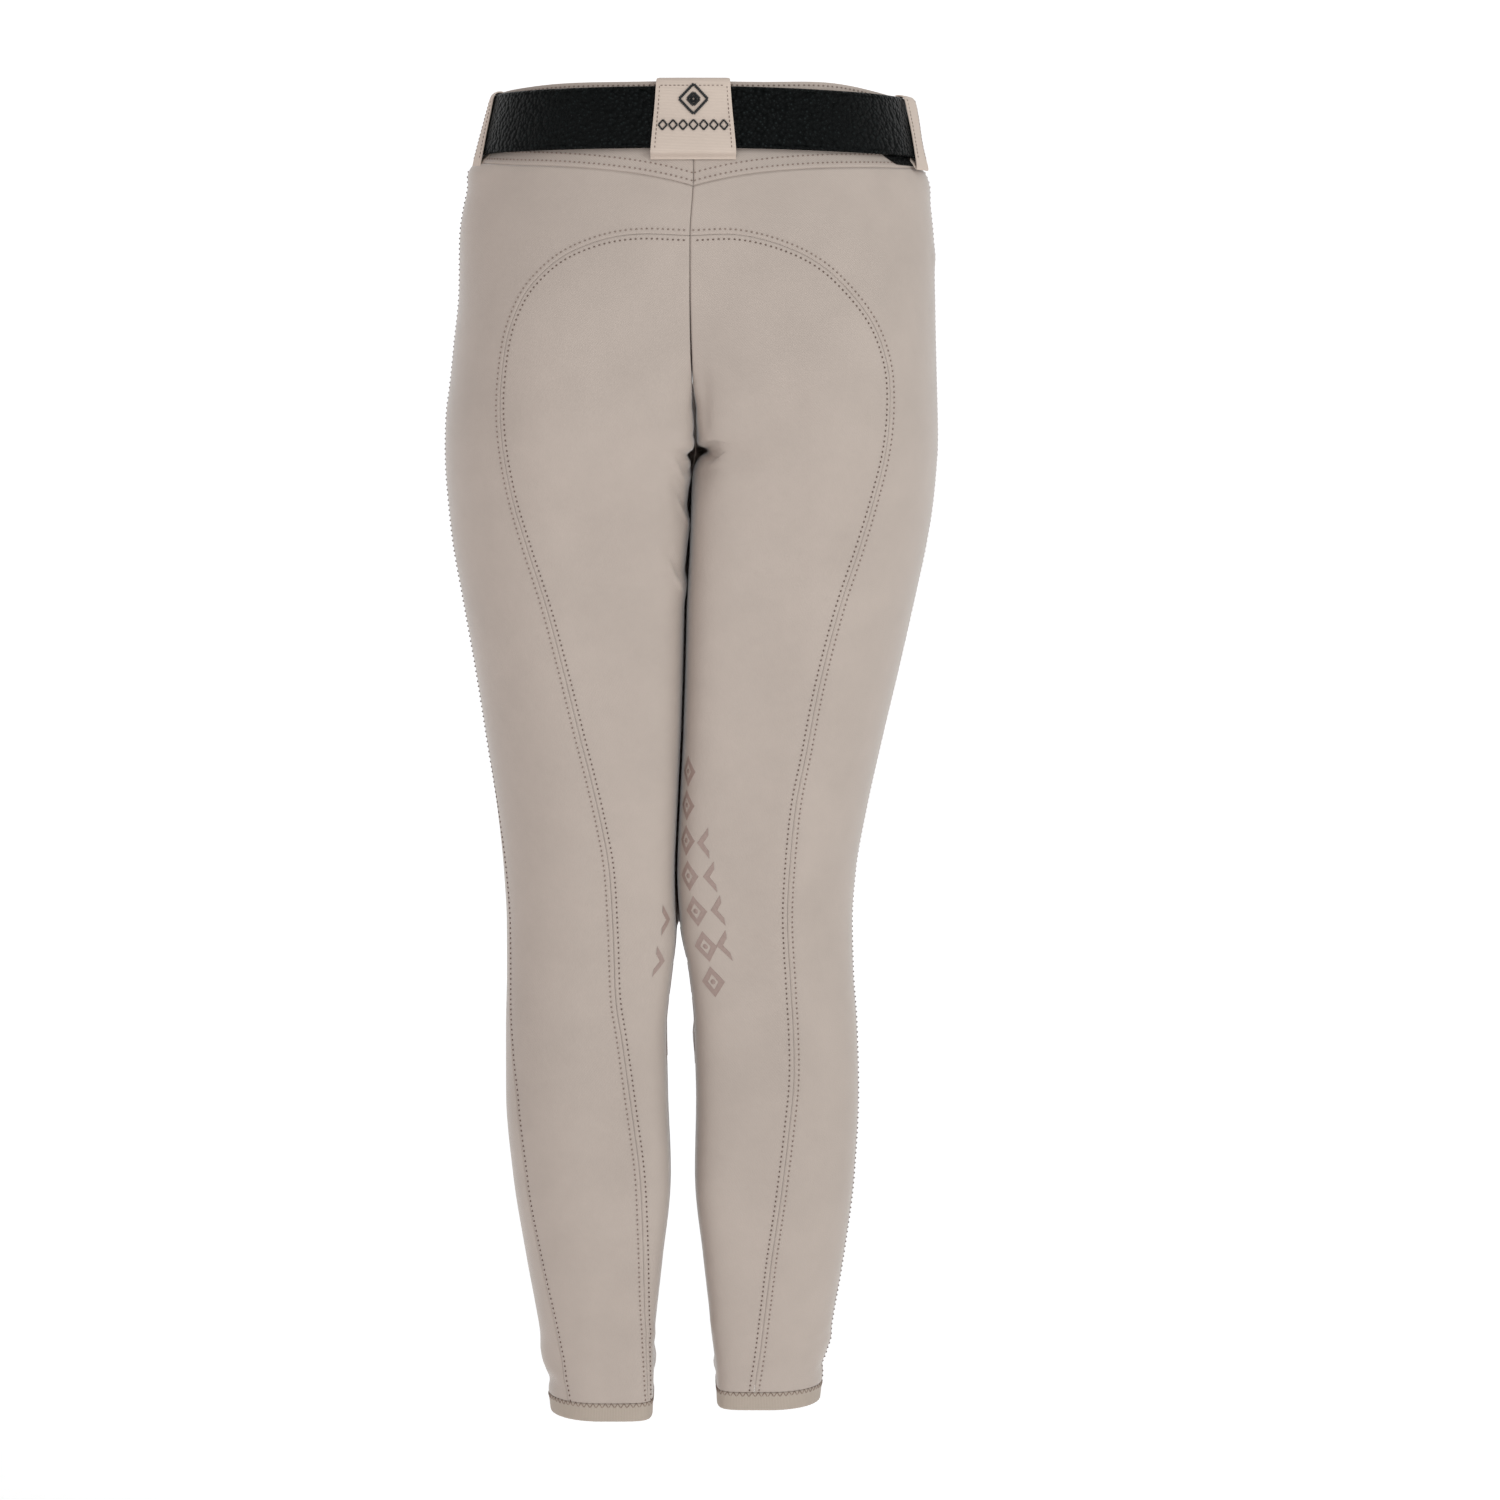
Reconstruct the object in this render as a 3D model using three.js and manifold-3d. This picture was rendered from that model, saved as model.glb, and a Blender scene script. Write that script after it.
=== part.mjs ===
// Riding breeches, worn shape with no wearer, with a leather belt.
// Millimetres, +Z up. The garment's back faces -Y and its front +Y.
// The origin is at the waist, on the middle of the belt.
import * as THREE from 'three';
import Module from 'manifold-3d';

const wasm = await Module();
wasm.setup();

// Driving sizes
const CLOTH = 2.0;              // wall of the panels
const SEAM_GAP = 0.3;           // gap between neighbouring pieces
const BELT_WIDTH = 42;
const BELT_THICK = 3.5;
const BELT_OFFSET = 2.6;        // belt's inner face from the waistband
const LOOP_THICK = 1.3;
const LOOP_CLEAR = 0.4;
const CROTCH_Z = -240;
const LEG_STRIDE = 14;          // the right foot stands this far forward
const STRIDE_TOP = -300;
const STRIDE_LENGTH = 600;
const HEM_BAND = 13;
const HEM_BOTTOM = { left: -912, right: -907 };
const LEFT = -1;
const RIGHT = 1;

// Cross sections of the breeches, a row per height.
// left, right: outermost half widths. mid: line between the halves. half: half the gap there.
// backX, frontX: where the section is deepest, as a share from the inner to the outer edge.
// seamBack, seamFront: depth of the centre seams. crease: how sharply they are drawn in.
const SECTION_COLUMNS = ['z', 'left', 'right', 'mid', 'half', 'backX', 'backY', 'sideY',
  'frontX', 'frontY', 'seamBack', 'seamFront', 'crease', 'square'];
const SECTIONS = [
  [34, 130.5, 140.5, 1.0, 0.15, 0.00, -97, -6, 0.00, 78, -97, 78, 0.0, 2.15],
  [20, 132.7, 142.5, 1.0, 0.15, 0.00, -99, -6, 0.00, 81, -99, 81, 0.0, 2.15],
  [0, 137.0, 149.5, 1.0, 0.15, 0.00, -102, -6, 0.00, 85, -102, 85, 0.0, 2.15],
  [-21, 144.3, 156.0, 1.0, 0.15, 0.00, -105, -6, 0.00, 89, -105, 89, 0.0, 2.15],
  [-36, 154.0, 162.6, 1.0, 0.15, 0.03, -107.5, -6, 0.02, 91.5, -107.5, 91.5, 0.0, 2.2],
  [-80, 162.4, 169.0, -1.4, 0.15, 0.20, -115, -5, 0.15, 97, -114.5, 97, 0.1, 2.2],
  [-115, 163.0, 170.0, -1.4, 0.15, 0.32, -121, -4, 0.25, 99, -118.5, 98.5, 0.2, 2.2],
  [-150, 166.5, 170.8, -0.8, 0.15, 0.40, -125, -4, 0.32, 99, -118, 97, 0.35, 2.2],
  [-180, 169.7, 171.7, 0.4, 0.15, 0.42, -126, -4, 0.38, 98, -109, 91, 0.6, 2.15],
  [-200, 172.3, 172.3, 1.6, 0.15, 0.44, -125, -4, 0.42, 97, -97, 80, 0.8, 2.1],
  [-215, 173.0, 172.6, 2.4, 0.15, 0.45, -123, -4, 0.44, 96, -81, 64, 0.95, 2.1],
  [-226, 173.2, 172.5, 2.4, 0.20, 0.46, -120, -4, 0.45, 95, -60, 44, 1.0, 2.05],
  [-234, 173.0, 172.0, 1.2, 0.30, 0.46, -117, -4, 0.46, 94, -36, 18, 1.0, 2.05],
  [CROTCH_Z, 172.8, 171.6, -0.4, 0.40, 0.46, -114, -4, 0.46, 93, -12, -12, 1.0, 2.05],
  [-262, 171.1, 169.6, -1.4, 0.50, 0.48, -106, -4, 0.48, 92, -11, -11, 1.0, 2.0],
  [-290, 168.2, 165.4, -2.2, 0.50, 0.50, -99, -3, 0.50, 91, -9, -9, 1.0, 2.0],
  [-330, 161.4, 157.2, -4.2, 0.50, 0.50, -92, -1, 0.50, 90, -6, -6, 1.0, 2.0],
  [-380, 152.7, 146.3, -5.5, 0.50, 0.50, -84, 1, 0.50, 87, -2, -2, 1.0, 2.0],
  [-430, 145.1, 134.8, -7.2, 0.50, 0.50, -77, 3, 0.50, 83, 1, 1, 1.0, 2.0],
  [-480, 138.0, 124.0, -9.6, 0.50, 0.50, -69, 4, 0.50, 79, 3, 3, 1.0, 2.0],
  [-525, 133.6, 116.4, -11.3, 0.60, 0.50, -62, 5, 0.50, 74, 5, 5, 1.0, 2.0],
  [-560, 131.8, 114.1, -9.8, 1.20, 0.50, -57.5, 5, 0.50, 69, 5, 5, 1.0, 2.0],
  [-595, 131.7, 114.8, -8.1, 6.10, 0.50, -56.5, 3, 0.50, 65, 4, 4, 1.0, 2.0],
  [-635, 132.4, 117.4, -8.2, 9.90, 0.50, -60, -1, 0.50, 60, 0, 0, 1.0, 2.0],
  [-682, 132.3, 118.5, -7.1, 10.00, 0.50, -66, -6, 0.50, 54, -5, -5, 1.0, 2.0],
  [-740, 127.4, 115.8, -6.5, 8.60, 0.50, -66, -8, 0.50, 49, -7, -7, 1.0, 2.0],
  [-798, 118.4, 108.9, -6.5, 14.30, 0.50, -58, -6, 0.50, 45, -6, -6, 1.0, 2.0],
  [-850, 109.3, 100.4, -6.5, 19.80, 0.50, -48, -3, 0.50, 43, -3, -3, 1.0, 2.0],
  [-885, 104.2, 94.5, -5.0, 22.20, 0.50, -43, 0, 0.50, 42, 0, 0, 1.0, 2.0],
  [-930, 99.0, 89.5, -5.2, 24.00, 0.50, -40, 1, 0.50, 42, 1, 1, 1.0, 2.0],
];

// Curved seam that bounds the seat panel, as x and z seen from behind, from the hem up and over the arch.
const SEAT_SEAM = {
  left: [
    [-31, -925], [-31, -897], [-33.3, -826], [-34.5, -774], [-36.5, -731], [-41.6, -690], [-49, -637],
    [-53.2, -610], [-55, -564], [-58, -514], [-63, -485], [-69.3, -456], [-78.2, -420], [-89.3, -374],
    [-100.3, -332], [-113, -292], [-123, -257], [-128.8, -225], [-130.8, -198], [-130, -178],
    [-126, -149], [-121, -133], [-113, -117], [-101.7, -104], [-89.4, -94], [-74.5, -86.5],
    [-55.5, -80.5], [-35, -78], [-1.4, -79],
  ],
  right: [
    [42, -925], [44, -895], [48, -867], [52.8, -825], [56.3, -794], [62.5, -749], [68.3, -700],
    [71.5, -665], [71, -630], [68.9, -595], [66.8, -554], [67.7, -524], [72.3, -471], [79.1, -435],
    [87.4, -390], [96.9, -350], [104, -325], [114.9, -292], [125, -257], [132.4, -225], [135.2, -194],
    [133.3, -167], [123.9, -140], [108, -118], [87.6, -99], [62.9, -86.4], [31.5, -78.6], [-1.4, -79],
  ],
};

// Side seam, as its distance behind the outermost point.
const SIDE_SEAM_COLUMNS = ['z', 'left', 'right'];
const SIDE_SEAMS = [
  [-925, 39, 4], [-880, 37, 4], [-740, 36, 2], [-685, 34, 0], [-650, 26, -2],
  [-600, 19, -4], [-540, 19, -6], [-400, 4, -8], [-250, 0, -6], [40, 0, -4],
];

// Rows of the panels: height on the centre seam or inseam, and on the seam of the seat panel.
const LEG_ROWS = [-870, -835, -800, -765, -730, -695, -660, -625, -592, -560, -525, -490,
  -450, -410, -370, -335, -300, -275, -256];
const SEAT_ROWS = [
  [CROTCH_Z, -240], [-234, -232], [-226, -222], [-215, -209], [-200, -195], [-180, -178],
  [-155, -160], [-130, -143], [-105, -130], [-79, -118],
];
const YOKE_STEPS = 3;           // rows between the arch and the waistband
const ARCH_STEPS = 7;           // columns along the arch
const SEAT_COLUMNS = 7;
const BACK_COLUMNS = 5;
const FRONT_COLUMNS = 10;
const FRONT_CUTS = [-560, -300]; // the long front panel is three solids: calf, thigh and hip
const FRONT_STRETCHES = ['calf', 'thigh', 'hip'];

// Heights that run round the waist: at the centre back, the two sides and the centre front.
const WAIST_TOP = { back: 25.5, left: 22.5, right: 18.5, front: 16 };
const WAIST_SEAM = { back: -29.5, left: -28, right: -30.5, front: -36 };
const BELT_LINE = { back: 1, left: 0, right: -2.5, front: -7 };
const SEAM_POINT = 16;          // the waist seam dips this far at the centre back
const SEAM_POINT_REACH = 52;

const clamp01 = (s) => Math.min(1, Math.max(0, s));
const smooth = (s) => clamp01(s) ** 2 * (3 - 2 * clamp01(s));
const mix = (a, b, s) => a + (b - a) * s;
const sideName = (side) => (side === LEFT ? 'left' : 'right');

// Monotone cubic through the rows of a table, by its first column
function tableReader(columns, rows) {
  const sorted = [...rows].sort((a, b) => a[0] - b[0]);
  const xs = sorted.map((row) => row[0]);
  const tracks = columns.slice(1).map((name, k) => {
    const ys = sorted.map((row) => row[k + 1]);
    const h = xs.slice(1).map((x, i) => x - xs[i]);
    const d = h.map((step, i) => (ys[i + 1] - ys[i]) / step);
    const m = ys.map((_, i) => {
      if (i === 0) return d[0];
      if (i === ys.length - 1) return d[d.length - 1];
      if (d[i - 1] * d[i] <= 0) return 0;
      const w1 = 2 * h[i] + h[i - 1];
      const w2 = h[i] + 2 * h[i - 1];
      return (w1 + w2) / (w1 / d[i - 1] + w2 / d[i]);
    });
    return { name, ys, m };
  });
  return (x) => {
    let i = xs.findIndex((value) => value > x) - 1;
    if (i === -2) i = xs.length - 2;
    i = Math.max(0, i);
    const h = xs[i + 1] - xs[i];
    const s = (x - xs[i]) / h;
    const result = {};
    for (const { name, ys, m } of tracks) {
      result[name] = (1 + 2 * s) * (1 - s) ** 2 * ys[i] + s * (1 - s) ** 2 * h * m[i]
        + s * s * (3 - 2 * s) * ys[i + 1] + s * s * (s - 1) * h * m[i + 1];
    }
    return result;
  };
}
const sectionRow = tableReader(SECTION_COLUMNS, SECTIONS);
const sideSeamRow = tableReader(SIDE_SEAM_COLUMNS, SIDE_SEAMS);

// Half section at a height: from the centre back, round the side, to the centre front
const VALLEY_STEPS = 24;
const ROUND_STEPS = 20;
const OUT_INDEX = VALLEY_STEPS + ROUND_STEPS;

function valley(fromX, fromY, toX, toY, crease, s) {
  const angle = s * Math.PI / 2;
  const softY = mix(fromY, toY, (1 - Math.cos(Math.PI * s)) / 2);
  const deepX = mix(fromX, toX, 1 - Math.cos(angle));
  const deepY = mix(fromY, toY, Math.sin(angle));
  return [mix(mix(fromX, toX, s), deepX, crease), mix(softY, deepY, crease)];
}

function makeSection(side, z) {
  const r = sectionRow(z);
  const inner = r.mid + side * r.half;
  const outer = side * (side === LEFT ? r.left : r.right);
  const backX = mix(inner, outer, r.backX);
  const frontX = mix(inner, outer, r.frontX);
  const power = 2 / r.square;
  const points = [];
  for (let i = 0; i < VALLEY_STEPS; i += 1) {
    points.push(valley(inner, r.seamBack, backX, r.backY, r.crease, i / VALLEY_STEPS));
  }
  for (let i = 0; i < ROUND_STEPS; i += 1) {
    const a = i / ROUND_STEPS * Math.PI / 2;
    points.push([mix(backX, outer, Math.sin(a) ** power), mix(r.sideY, r.backY, Math.cos(a) ** power)]);
  }
  for (let i = 0; i <= ROUND_STEPS; i += 1) {
    const a = i / ROUND_STEPS * Math.PI / 2;
    points.push([mix(frontX, outer, Math.cos(a) ** power), mix(r.sideY, r.frontY, Math.sin(a) ** power)]);
  }
  for (let i = VALLEY_STEPS - 1; i >= 0; i -= 1) {
    points.push(valley(inner, r.seamFront, frontX, r.frontY, r.crease, i / VALLEY_STEPS));
  }
  const stride = side === RIGHT ? LEG_STRIDE * smooth((STRIDE_TOP - z) / STRIDE_LENGTH) : 0;
  const lengths = [0];
  points.forEach((p, i) => {
    p[1] += stride;
    if (i) lengths.push(lengths[i - 1] + Math.hypot(p[0] - points[i - 1][0], p[1] - points[i - 1][1]));
  });
  const total = lengths[lengths.length - 1];
  return { points, lengths, total, tOut: lengths[OUT_INDEX] / total };
}
const sectionCache = new Map();
function section(side, z) {
  const key = `${side}:${z.toFixed(4)}`;
  if (!sectionCache.has(key)) sectionCache.set(key, makeSection(side, z));
  return sectionCache.get(key);
}

// Point of the outer face: t runs 0 to 1 round the half section
const SHORTEST = 1e-9;
function surface(side, t, z) {
  const { points, lengths, total } = section(side, z);
  const length = clamp01(t) * total;
  let i = lengths.findIndex((value) => value > length) - 1;
  if (i < 0) i = lengths.length - 2;
  const s = (length - lengths[i]) / Math.max(SHORTEST, lengths[i + 1] - lengths[i]);
  return new THREE.Vector3(mix(points[i][0], points[i + 1][0], s), mix(points[i][1], points[i + 1][1], s), z);
}

const NORMAL_STEP_T = 0.004;
const NORMAL_STEP_Z = 0.8;
function normalAt(side, t, z) {
  const along = surface(side, Math.min(1, t + NORMAL_STEP_T), z)
    .sub(surface(side, Math.max(0, t - NORMAL_STEP_T), z));
  const up = surface(side, t, z + NORMAL_STEP_Z).sub(surface(side, t, z - NORMAL_STEP_Z));
  return along.cross(up).multiplyScalar(side).normalize();
}

function tOfX(side, x, z) {
  const { points, lengths, total } = section(side, z);
  for (let i = 1; i <= OUT_INDEX; i += 1) {
    if (side * points[i][0] >= side * x) {
      const span = points[i][0] - points[i - 1][0];
      const s = Math.abs(span) < SHORTEST ? 0 : (x - points[i - 1][0]) / span;
      return mix(lengths[i - 1], lengths[i], clamp01(s)) / total;
    }
  }
  return lengths[OUT_INDEX] / total;
}

function sideSeamT(side, z) {
  const { total, tOut } = section(side, z);
  return tOut - sideSeamRow(z)[sideName(side)] / total;
}

// A height that runs round the waist
function aroundWaist(edge, side, t) {
  const atSide = edge[sideName(side)];
  return t < 0.5 ? mix(edge.back, atSide, smooth(t * 2)) : mix(atSide, edge.front, smooth(t * 2 - 1));
}
function waistSeamZ(side, t) {
  const distance = t * section(side, -30).total;
  return aroundWaist(WAIST_SEAM, side, t) - SEAM_POINT * Math.exp(-distance / SEAM_POINT_REACH);
}
const waistTopZ = (side, t) => aroundWaist(WAIST_TOP, side, t);

// Samples of the curved seam on the panels' rows, then along the arch to the centre back
function seatSeamSamples(side) {
  const curve = new THREE.CatmullRomCurve3(
    SEAT_SEAM[sideName(side)].map(([x, z]) => new THREE.Vector3(x, 0, z)), false, 'centripetal');
  const fine = curve.getPoints(1200);
  const cornerZ = SEAT_ROWS[SEAT_ROWS.length - 1][1];
  const atHeight = (z) => {
    const i = fine.findIndex((p) => p.z > z);
    const s = (z - fine[i - 1].z) / (fine[i].z - fine[i - 1].z);
    return { x: mix(fine[i - 1].x, fine[i].x, s), z, index: i };
  };
  const rows = [hemJoinZ(side), ...LEG_ROWS, ...SEAT_ROWS.map(([, outer]) => outer)];
  const lower = rows.map(atHeight);
  const corner = atHeight(cornerZ).index;
  const arch = [];
  for (let k = 1; k <= ARCH_STEPS; k += 1) {
    const p = fine[Math.round(mix(corner, fine.length - 1, k / ARCH_STEPS))];
    arch.push({ x: p.x, z: p.z });
  }
  const toChart = ({ x, z }) => ({ t: tOfX(side, x, z), z });
  const samples = [...lower, ...arch].map(toChart);
  samples[samples.length - 1].t = 0;
  return { samples, corner: lower.length - 1 };
}
const hemJoinZ = (side) => HEM_BOTTOM[sideName(side)] + HEM_BAND;

// Moves seam samples to one side of the seam by half the gap: +1 is outwards of the seat panel
function besideSeam(side, samples, direction) {
  return samples.map((sample, i) => {
    const before = samples[Math.max(0, i - 1)];
    const after = samples[Math.min(samples.length - 1, i + 1)];
    const { total } = section(side, sample.z);
    const ds = (after.t - before.t) * total;
    const dz = after.z - before.z;
    const size = Math.hypot(ds, dz);
    const shift = direction * SEAM_GAP / 2 / size;
    return { t: Math.max(0, sample.t + dz * shift / total), z: sample.z - ds * shift };
  });
}

// Grid of chart points: rows of equal length
function chartMesh(grids) {
  const points = [];
  const index = new Map();
  const triangles = [];
  const idOf = (p) => {
    const key = `${p.t.toFixed(6)}:${p.z.toFixed(4)}`;
    if (!index.has(key)) {
      index.set(key, points.length);
      points.push(p);
    }
    return index.get(key);
  };
  for (const { rows, flip } of grids) {
    for (let j = 0; j + 1 < rows.length; j += 1) {
      for (let i = 0; i + 1 < rows[j].length; i += 1) {
        const [a, b, c, d] = [rows[j][i], rows[j][i + 1], rows[j + 1][i + 1], rows[j + 1][i]].map(idOf);
        const quad = flip && flip(i, j) ? [[a, b, d], [b, c, d]] : [[a, b, c], [a, c, d]];
        triangles.push(...quad.filter(([p, q, r]) => p !== q && q !== r && p !== r));
      }
    }
  }
  return { points, triangles };
}

// Closed wall from a chart: outer face, inner face and rim
function clothGeometry(side, { points, triangles }, thickness, offset = 0) {
  const outer = [];
  const inner = [];
  for (const { t, z } of points) {
    const p = surface(side, t, z);
    const n = normalAt(side, t, z);
    outer.push(p.clone().addScaledVector(n, offset));
    inner.push(p.clone().addScaledVector(n, offset - thickness));
  }
  const count = points.length;
  const faces = [];
  const edges = new Map();
  const addFace = (a, b, c) => faces.push(side === RIGHT ? [a, b, c] : [a, c, b]);
  for (const [a, b, c] of triangles) {
    addFace(a, b, c);
    addFace(a + count, c + count, b + count);
    for (const [p, q] of [[a, b], [b, c], [c, a]]) {
      if (edges.has(`${q}:${p}`)) edges.delete(`${q}:${p}`);
      else edges.set(`${p}:${q}`, [p, q]);
    }
  }
  for (const [p, q] of edges.values()) {
    addFace(p, p + count, q + count);
    addFace(p, q + count, q);
  }
  return indexed([...outer, ...inner], faces);
}

function indexed(vertices, faces) {
  const geometry = new THREE.BufferGeometry();
  const numbers = vertices.flatMap((v) => [v.x, v.y, v.z]);
  geometry.setAttribute('position', new THREE.Float32BufferAttribute(numbers, 3));
  geometry.setIndex(faces.flat());
  geometry.computeVertexNormals();
  return geometry;
}

// Chart points on a straight line between two chart points
function between(a, b, count) {
  return Array.from({ length: count + 1 }, (_, i) => ({
    t: mix(a.t, b.t, i / count),
    z: mix(a.z, b.z, i / count),
  }));
}

// Seam lines of one side, shared by its panels
function sideLines(side) {
  const { samples, corner } = seatSeamSamples(side);
  const centreRows = [hemJoinZ(side), ...LEG_ROWS, ...SEAT_ROWS.map(([centre]) => centre)];
  const outerRows = [hemJoinZ(side), ...LEG_ROWS, ...SEAT_ROWS.map(([, outer]) => outer)];
  const sideTop = waistSeamZ(side, 0.5);
  const frontTop = waistSeamZ(side, 1);
  const yoke = Array.from({ length: YOKE_STEPS }, (_, k) => (k + 1) / YOKE_STEPS);
  const archTop = centreRows[centreRows.length - 1];
  return {
    samples,
    corner,
    centreRows,
    outerRows,
    sideYokeRows: yoke.map((s) => mix(outerRows[outerRows.length - 1], sideTop, s)),
    frontYokeRows: yoke.map((s) => mix(archTop, frontTop, s)),
  };
}

// The inseam's edges are drawn back this far from the inner line of the leg
const INSEAM_SHIFT = 0.2;
const inseamShift = (side, z) => (z <= CROTCH_Z ? INSEAM_SHIFT / section(side, z).total : 0);

const raised = (row, height) => row.map((p) => ({ t: p.t, z: p.z + height }));

// Seat panel: a four-sided patch between the centre line, the curved seam and the arch
function seatChart(side, lines) {
  const seam = besideSeam(side, lines.samples, -1);
  const right = seam.slice(0, lines.corner + 1);
  const top = seam.slice(lines.corner).reverse();
  const left = lines.centreRows.map((z) => ({ t: inseamShift(side, z), z }));
  left[left.length - 1] = top[0];
  const columns = top.length - 1;
  const archStart = lines.centreRows.length - SEAT_ROWS.length;
  const last = lines.centreRows.length - 1;
  const rows = lines.centreRows.map((_, j) => {
    const straight = between(left[j], right[j], columns);
    const climb = smooth((j - archStart) / (last - archStart));
    return straight.map((p, i) => {
      const base = between(left[last], right[last], columns)[i];
      return { t: p.t + (top[i].t - base.t) * climb, z: p.z + (top[i].z - base.z) * climb };
    });
  });
  rows[0] = raised(rows[0], SEAM_GAP / 2);
  return chartMesh([{ rows, flip: (i, j) => j === last - 1 && i === columns - 1 }]);
}

// Outer back panel: a leg stretch beside the curved seam, and the stretch above the arch
function backChart(side, lines) {
  const seam = besideSeam(side, lines.samples, 1);
  const gapT = (z) => SEAM_GAP / 2 / section(side, z).total;
  const sideEdge = (z) => ({ t: sideSeamT(side, z) - gapT(z), z });
  const legRows = lines.outerRows.map((z, j) => between(seam[j], sideEdge(z), BACK_COLUMNS));
  legRows[0] = raised(legRows[0], SEAM_GAP / 2);
  const bottom = [...seam.slice(lines.corner).reverse().slice(0, -1), ...legRows[legRows.length - 1]];
  const tSide = bottom[bottom.length - 1].t;
  const yokeRows = [bottom];
  for (let k = 0; k < YOKE_STEPS; k += 1) {
    const share = (k + 1) / YOKE_STEPS;
    yokeRows.push(bottom.map((p, i) => {
      const even = i / (bottom.length - 1) * tSide;
      const t = mix(p.t, even, share * 0.8);
      const top = waistSeamZ(side, t) - SEAM_GAP / 2;
      return { t, z: mix(p.z, top, share) };
    }));
  }
  yokeRows.slice(1).forEach((row) => {
    const end = row[row.length - 1];
    end.t = sideSeamT(side, end.z) - gapT(end.z);
  });
  return { chart: chartMesh([{ rows: legRows }, { rows: yokeRows }]), top: yokeRows[YOKE_STEPS] };
}

// Front panel: from the side seam to the centre front and the inseam
function frontChart(side, lines) {
  const gapT = (z) => SEAM_GAP / 2 / section(side, z).total;
  const outerZ = [...lines.outerRows, ...lines.sideYokeRows];
  const centreZ = [...lines.centreRows, ...lines.frontYokeRows];
  const rows = outerZ.map((z, j) => {
    const start = { t: sideSeamT(side, z) + gapT(z), z };
    const end = { t: 1 - inseamShift(side, centreZ[j]), z: centreZ[j] };
    return between(start, end, FRONT_COLUMNS);
  });
  const last = rows.length - 1;
  rows[0] = rows[0].map((p) => ({ t: p.t, z: hemJoinZ(side) + SEAM_GAP / 2 }));
  rows[last] = rows[last].map((p) => ({ t: p.t, z: waistSeamZ(side, p.t) - SEAM_GAP / 2 }));
  const cuts = [0, ...FRONT_CUTS.map((z) => outerZ.indexOf(z)), last];
  const charts = FRONT_STRETCHES.map((_, k) => {
    const low = rows[cuts[k]];
    const high = rows[cuts[k + 1]];
    const inside = rows.slice(cuts[k] + 1, cuts[k + 1]);
    return chartMesh([{
      rows: [
        k > 0 ? raised(low, SEAM_GAP / 2) : low,
        ...inside,
        k < FRONT_CUTS.length ? raised(high, -SEAM_GAP / 2) : high,
      ],
    }]);
  });
  return { charts, top: rows[last] };
}

// Waistband half: its columns follow the panels below it
function waistbandChart(side, backTop, frontTop) {
  const columns = [...backTop.map((p) => p.t), ...frontTop.slice(1).map((p) => p.t)];
  const steps = [0, 0.16, 0.34, 0.62, 1];
  const rows = steps.map((s) => columns.map((t) => ({
    t,
    z: mix(waistSeamZ(side, t) + SEAM_GAP / 2, waistTopZ(side, t), s),
  })));
  return chartMesh([{ rows }]);
}

// Ankle band: a closed tube below the panels
function hemGeometry(side, ts) {
  const bottom = HEM_BOTTOM[sideName(side)];
  const top = hemJoinZ(side) - SEAM_GAP / 2;
  const loops = [];
  for (const [offset, heights] of [[0, [0, 0.5, 1]], [-CLOTH, [1, 0.5, 0]]]) {
    for (const h of heights) {
      const z = mix(bottom, top, h);
      loops.push(ts.map((t) => surface(side, t, z).addScaledVector(normalAt(side, t, z), offset)));
    }
  }
  return closedSkin(loops, side === RIGHT);
}

// Skin over a closed ring of closed loops
function closedSkin(loops, forward) {
  const size = loops[0].length;
  const faces = [];
  for (let j = 0; j < loops.length; j += 1) {
    const next = (j + 1) % loops.length;
    for (let i = 0; i < size; i += 1) {
      const k = (i + 1) % size;
      const [a, b, c, d] = [j * size + i, j * size + k, next * size + k, next * size + i];
      faces.push(...(forward ? [[a, b, c], [a, c, d]] : [[a, c, b], [a, d, c]]));
    }
  }
  return indexed(loops.flat(), faces);
}

// Place on the waist: distance along the belt from the centre front, by the right side
const beltLengths = { right: section(RIGHT, 0).total, left: section(LEFT, 0).total };
const BELT_ROUND = beltLengths.right + beltLengths.left;
function waistPlace(distance) {
  const d = ((distance % BELT_ROUND) + BELT_ROUND) % BELT_ROUND;
  if (d <= beltLengths.right) return { side: RIGHT, t: 1 - d / beltLengths.right };
  return { side: LEFT, t: (d - beltLengths.right) / beltLengths.left };
}
function waistPoint(distance, z, offset) {
  const { side, t } = waistPlace(distance);
  const n = normalAt(side, t, 0);
  n.z = 0;
  n.normalize();
  return surface(side, t, z).addScaledVector(n, offset);
}
// Point relative to the belt: height above its middle line and distance out of the waistband
function beltMiddle(distance) {
  const { side, t } = waistPlace(distance);
  return aroundWaist(BELT_LINE, side, t);
}
function beltPoint(distance, height, offset) {
  const middle = beltMiddle(distance);
  const top = waistPoint(distance, middle + BELT_WIDTH / 2, offset);
  const bottom = waistPoint(distance, middle - BELT_WIDTH / 2, offset);
  return bottom.lerp(top, 0.5 + height / BELT_WIDTH);
}
// Follows the flat belt where it covers the waistband, and the cloth above and below it
function bandPoint(distance, z, offset) {
  const height = z - beltMiddle(distance);
  if (Math.abs(height) < BELT_WIDTH / 2) return beltPoint(distance, height, offset);
  return waistPoint(distance, z, offset);
}
const CENTRE_BACK = beltLengths.right;

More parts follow.
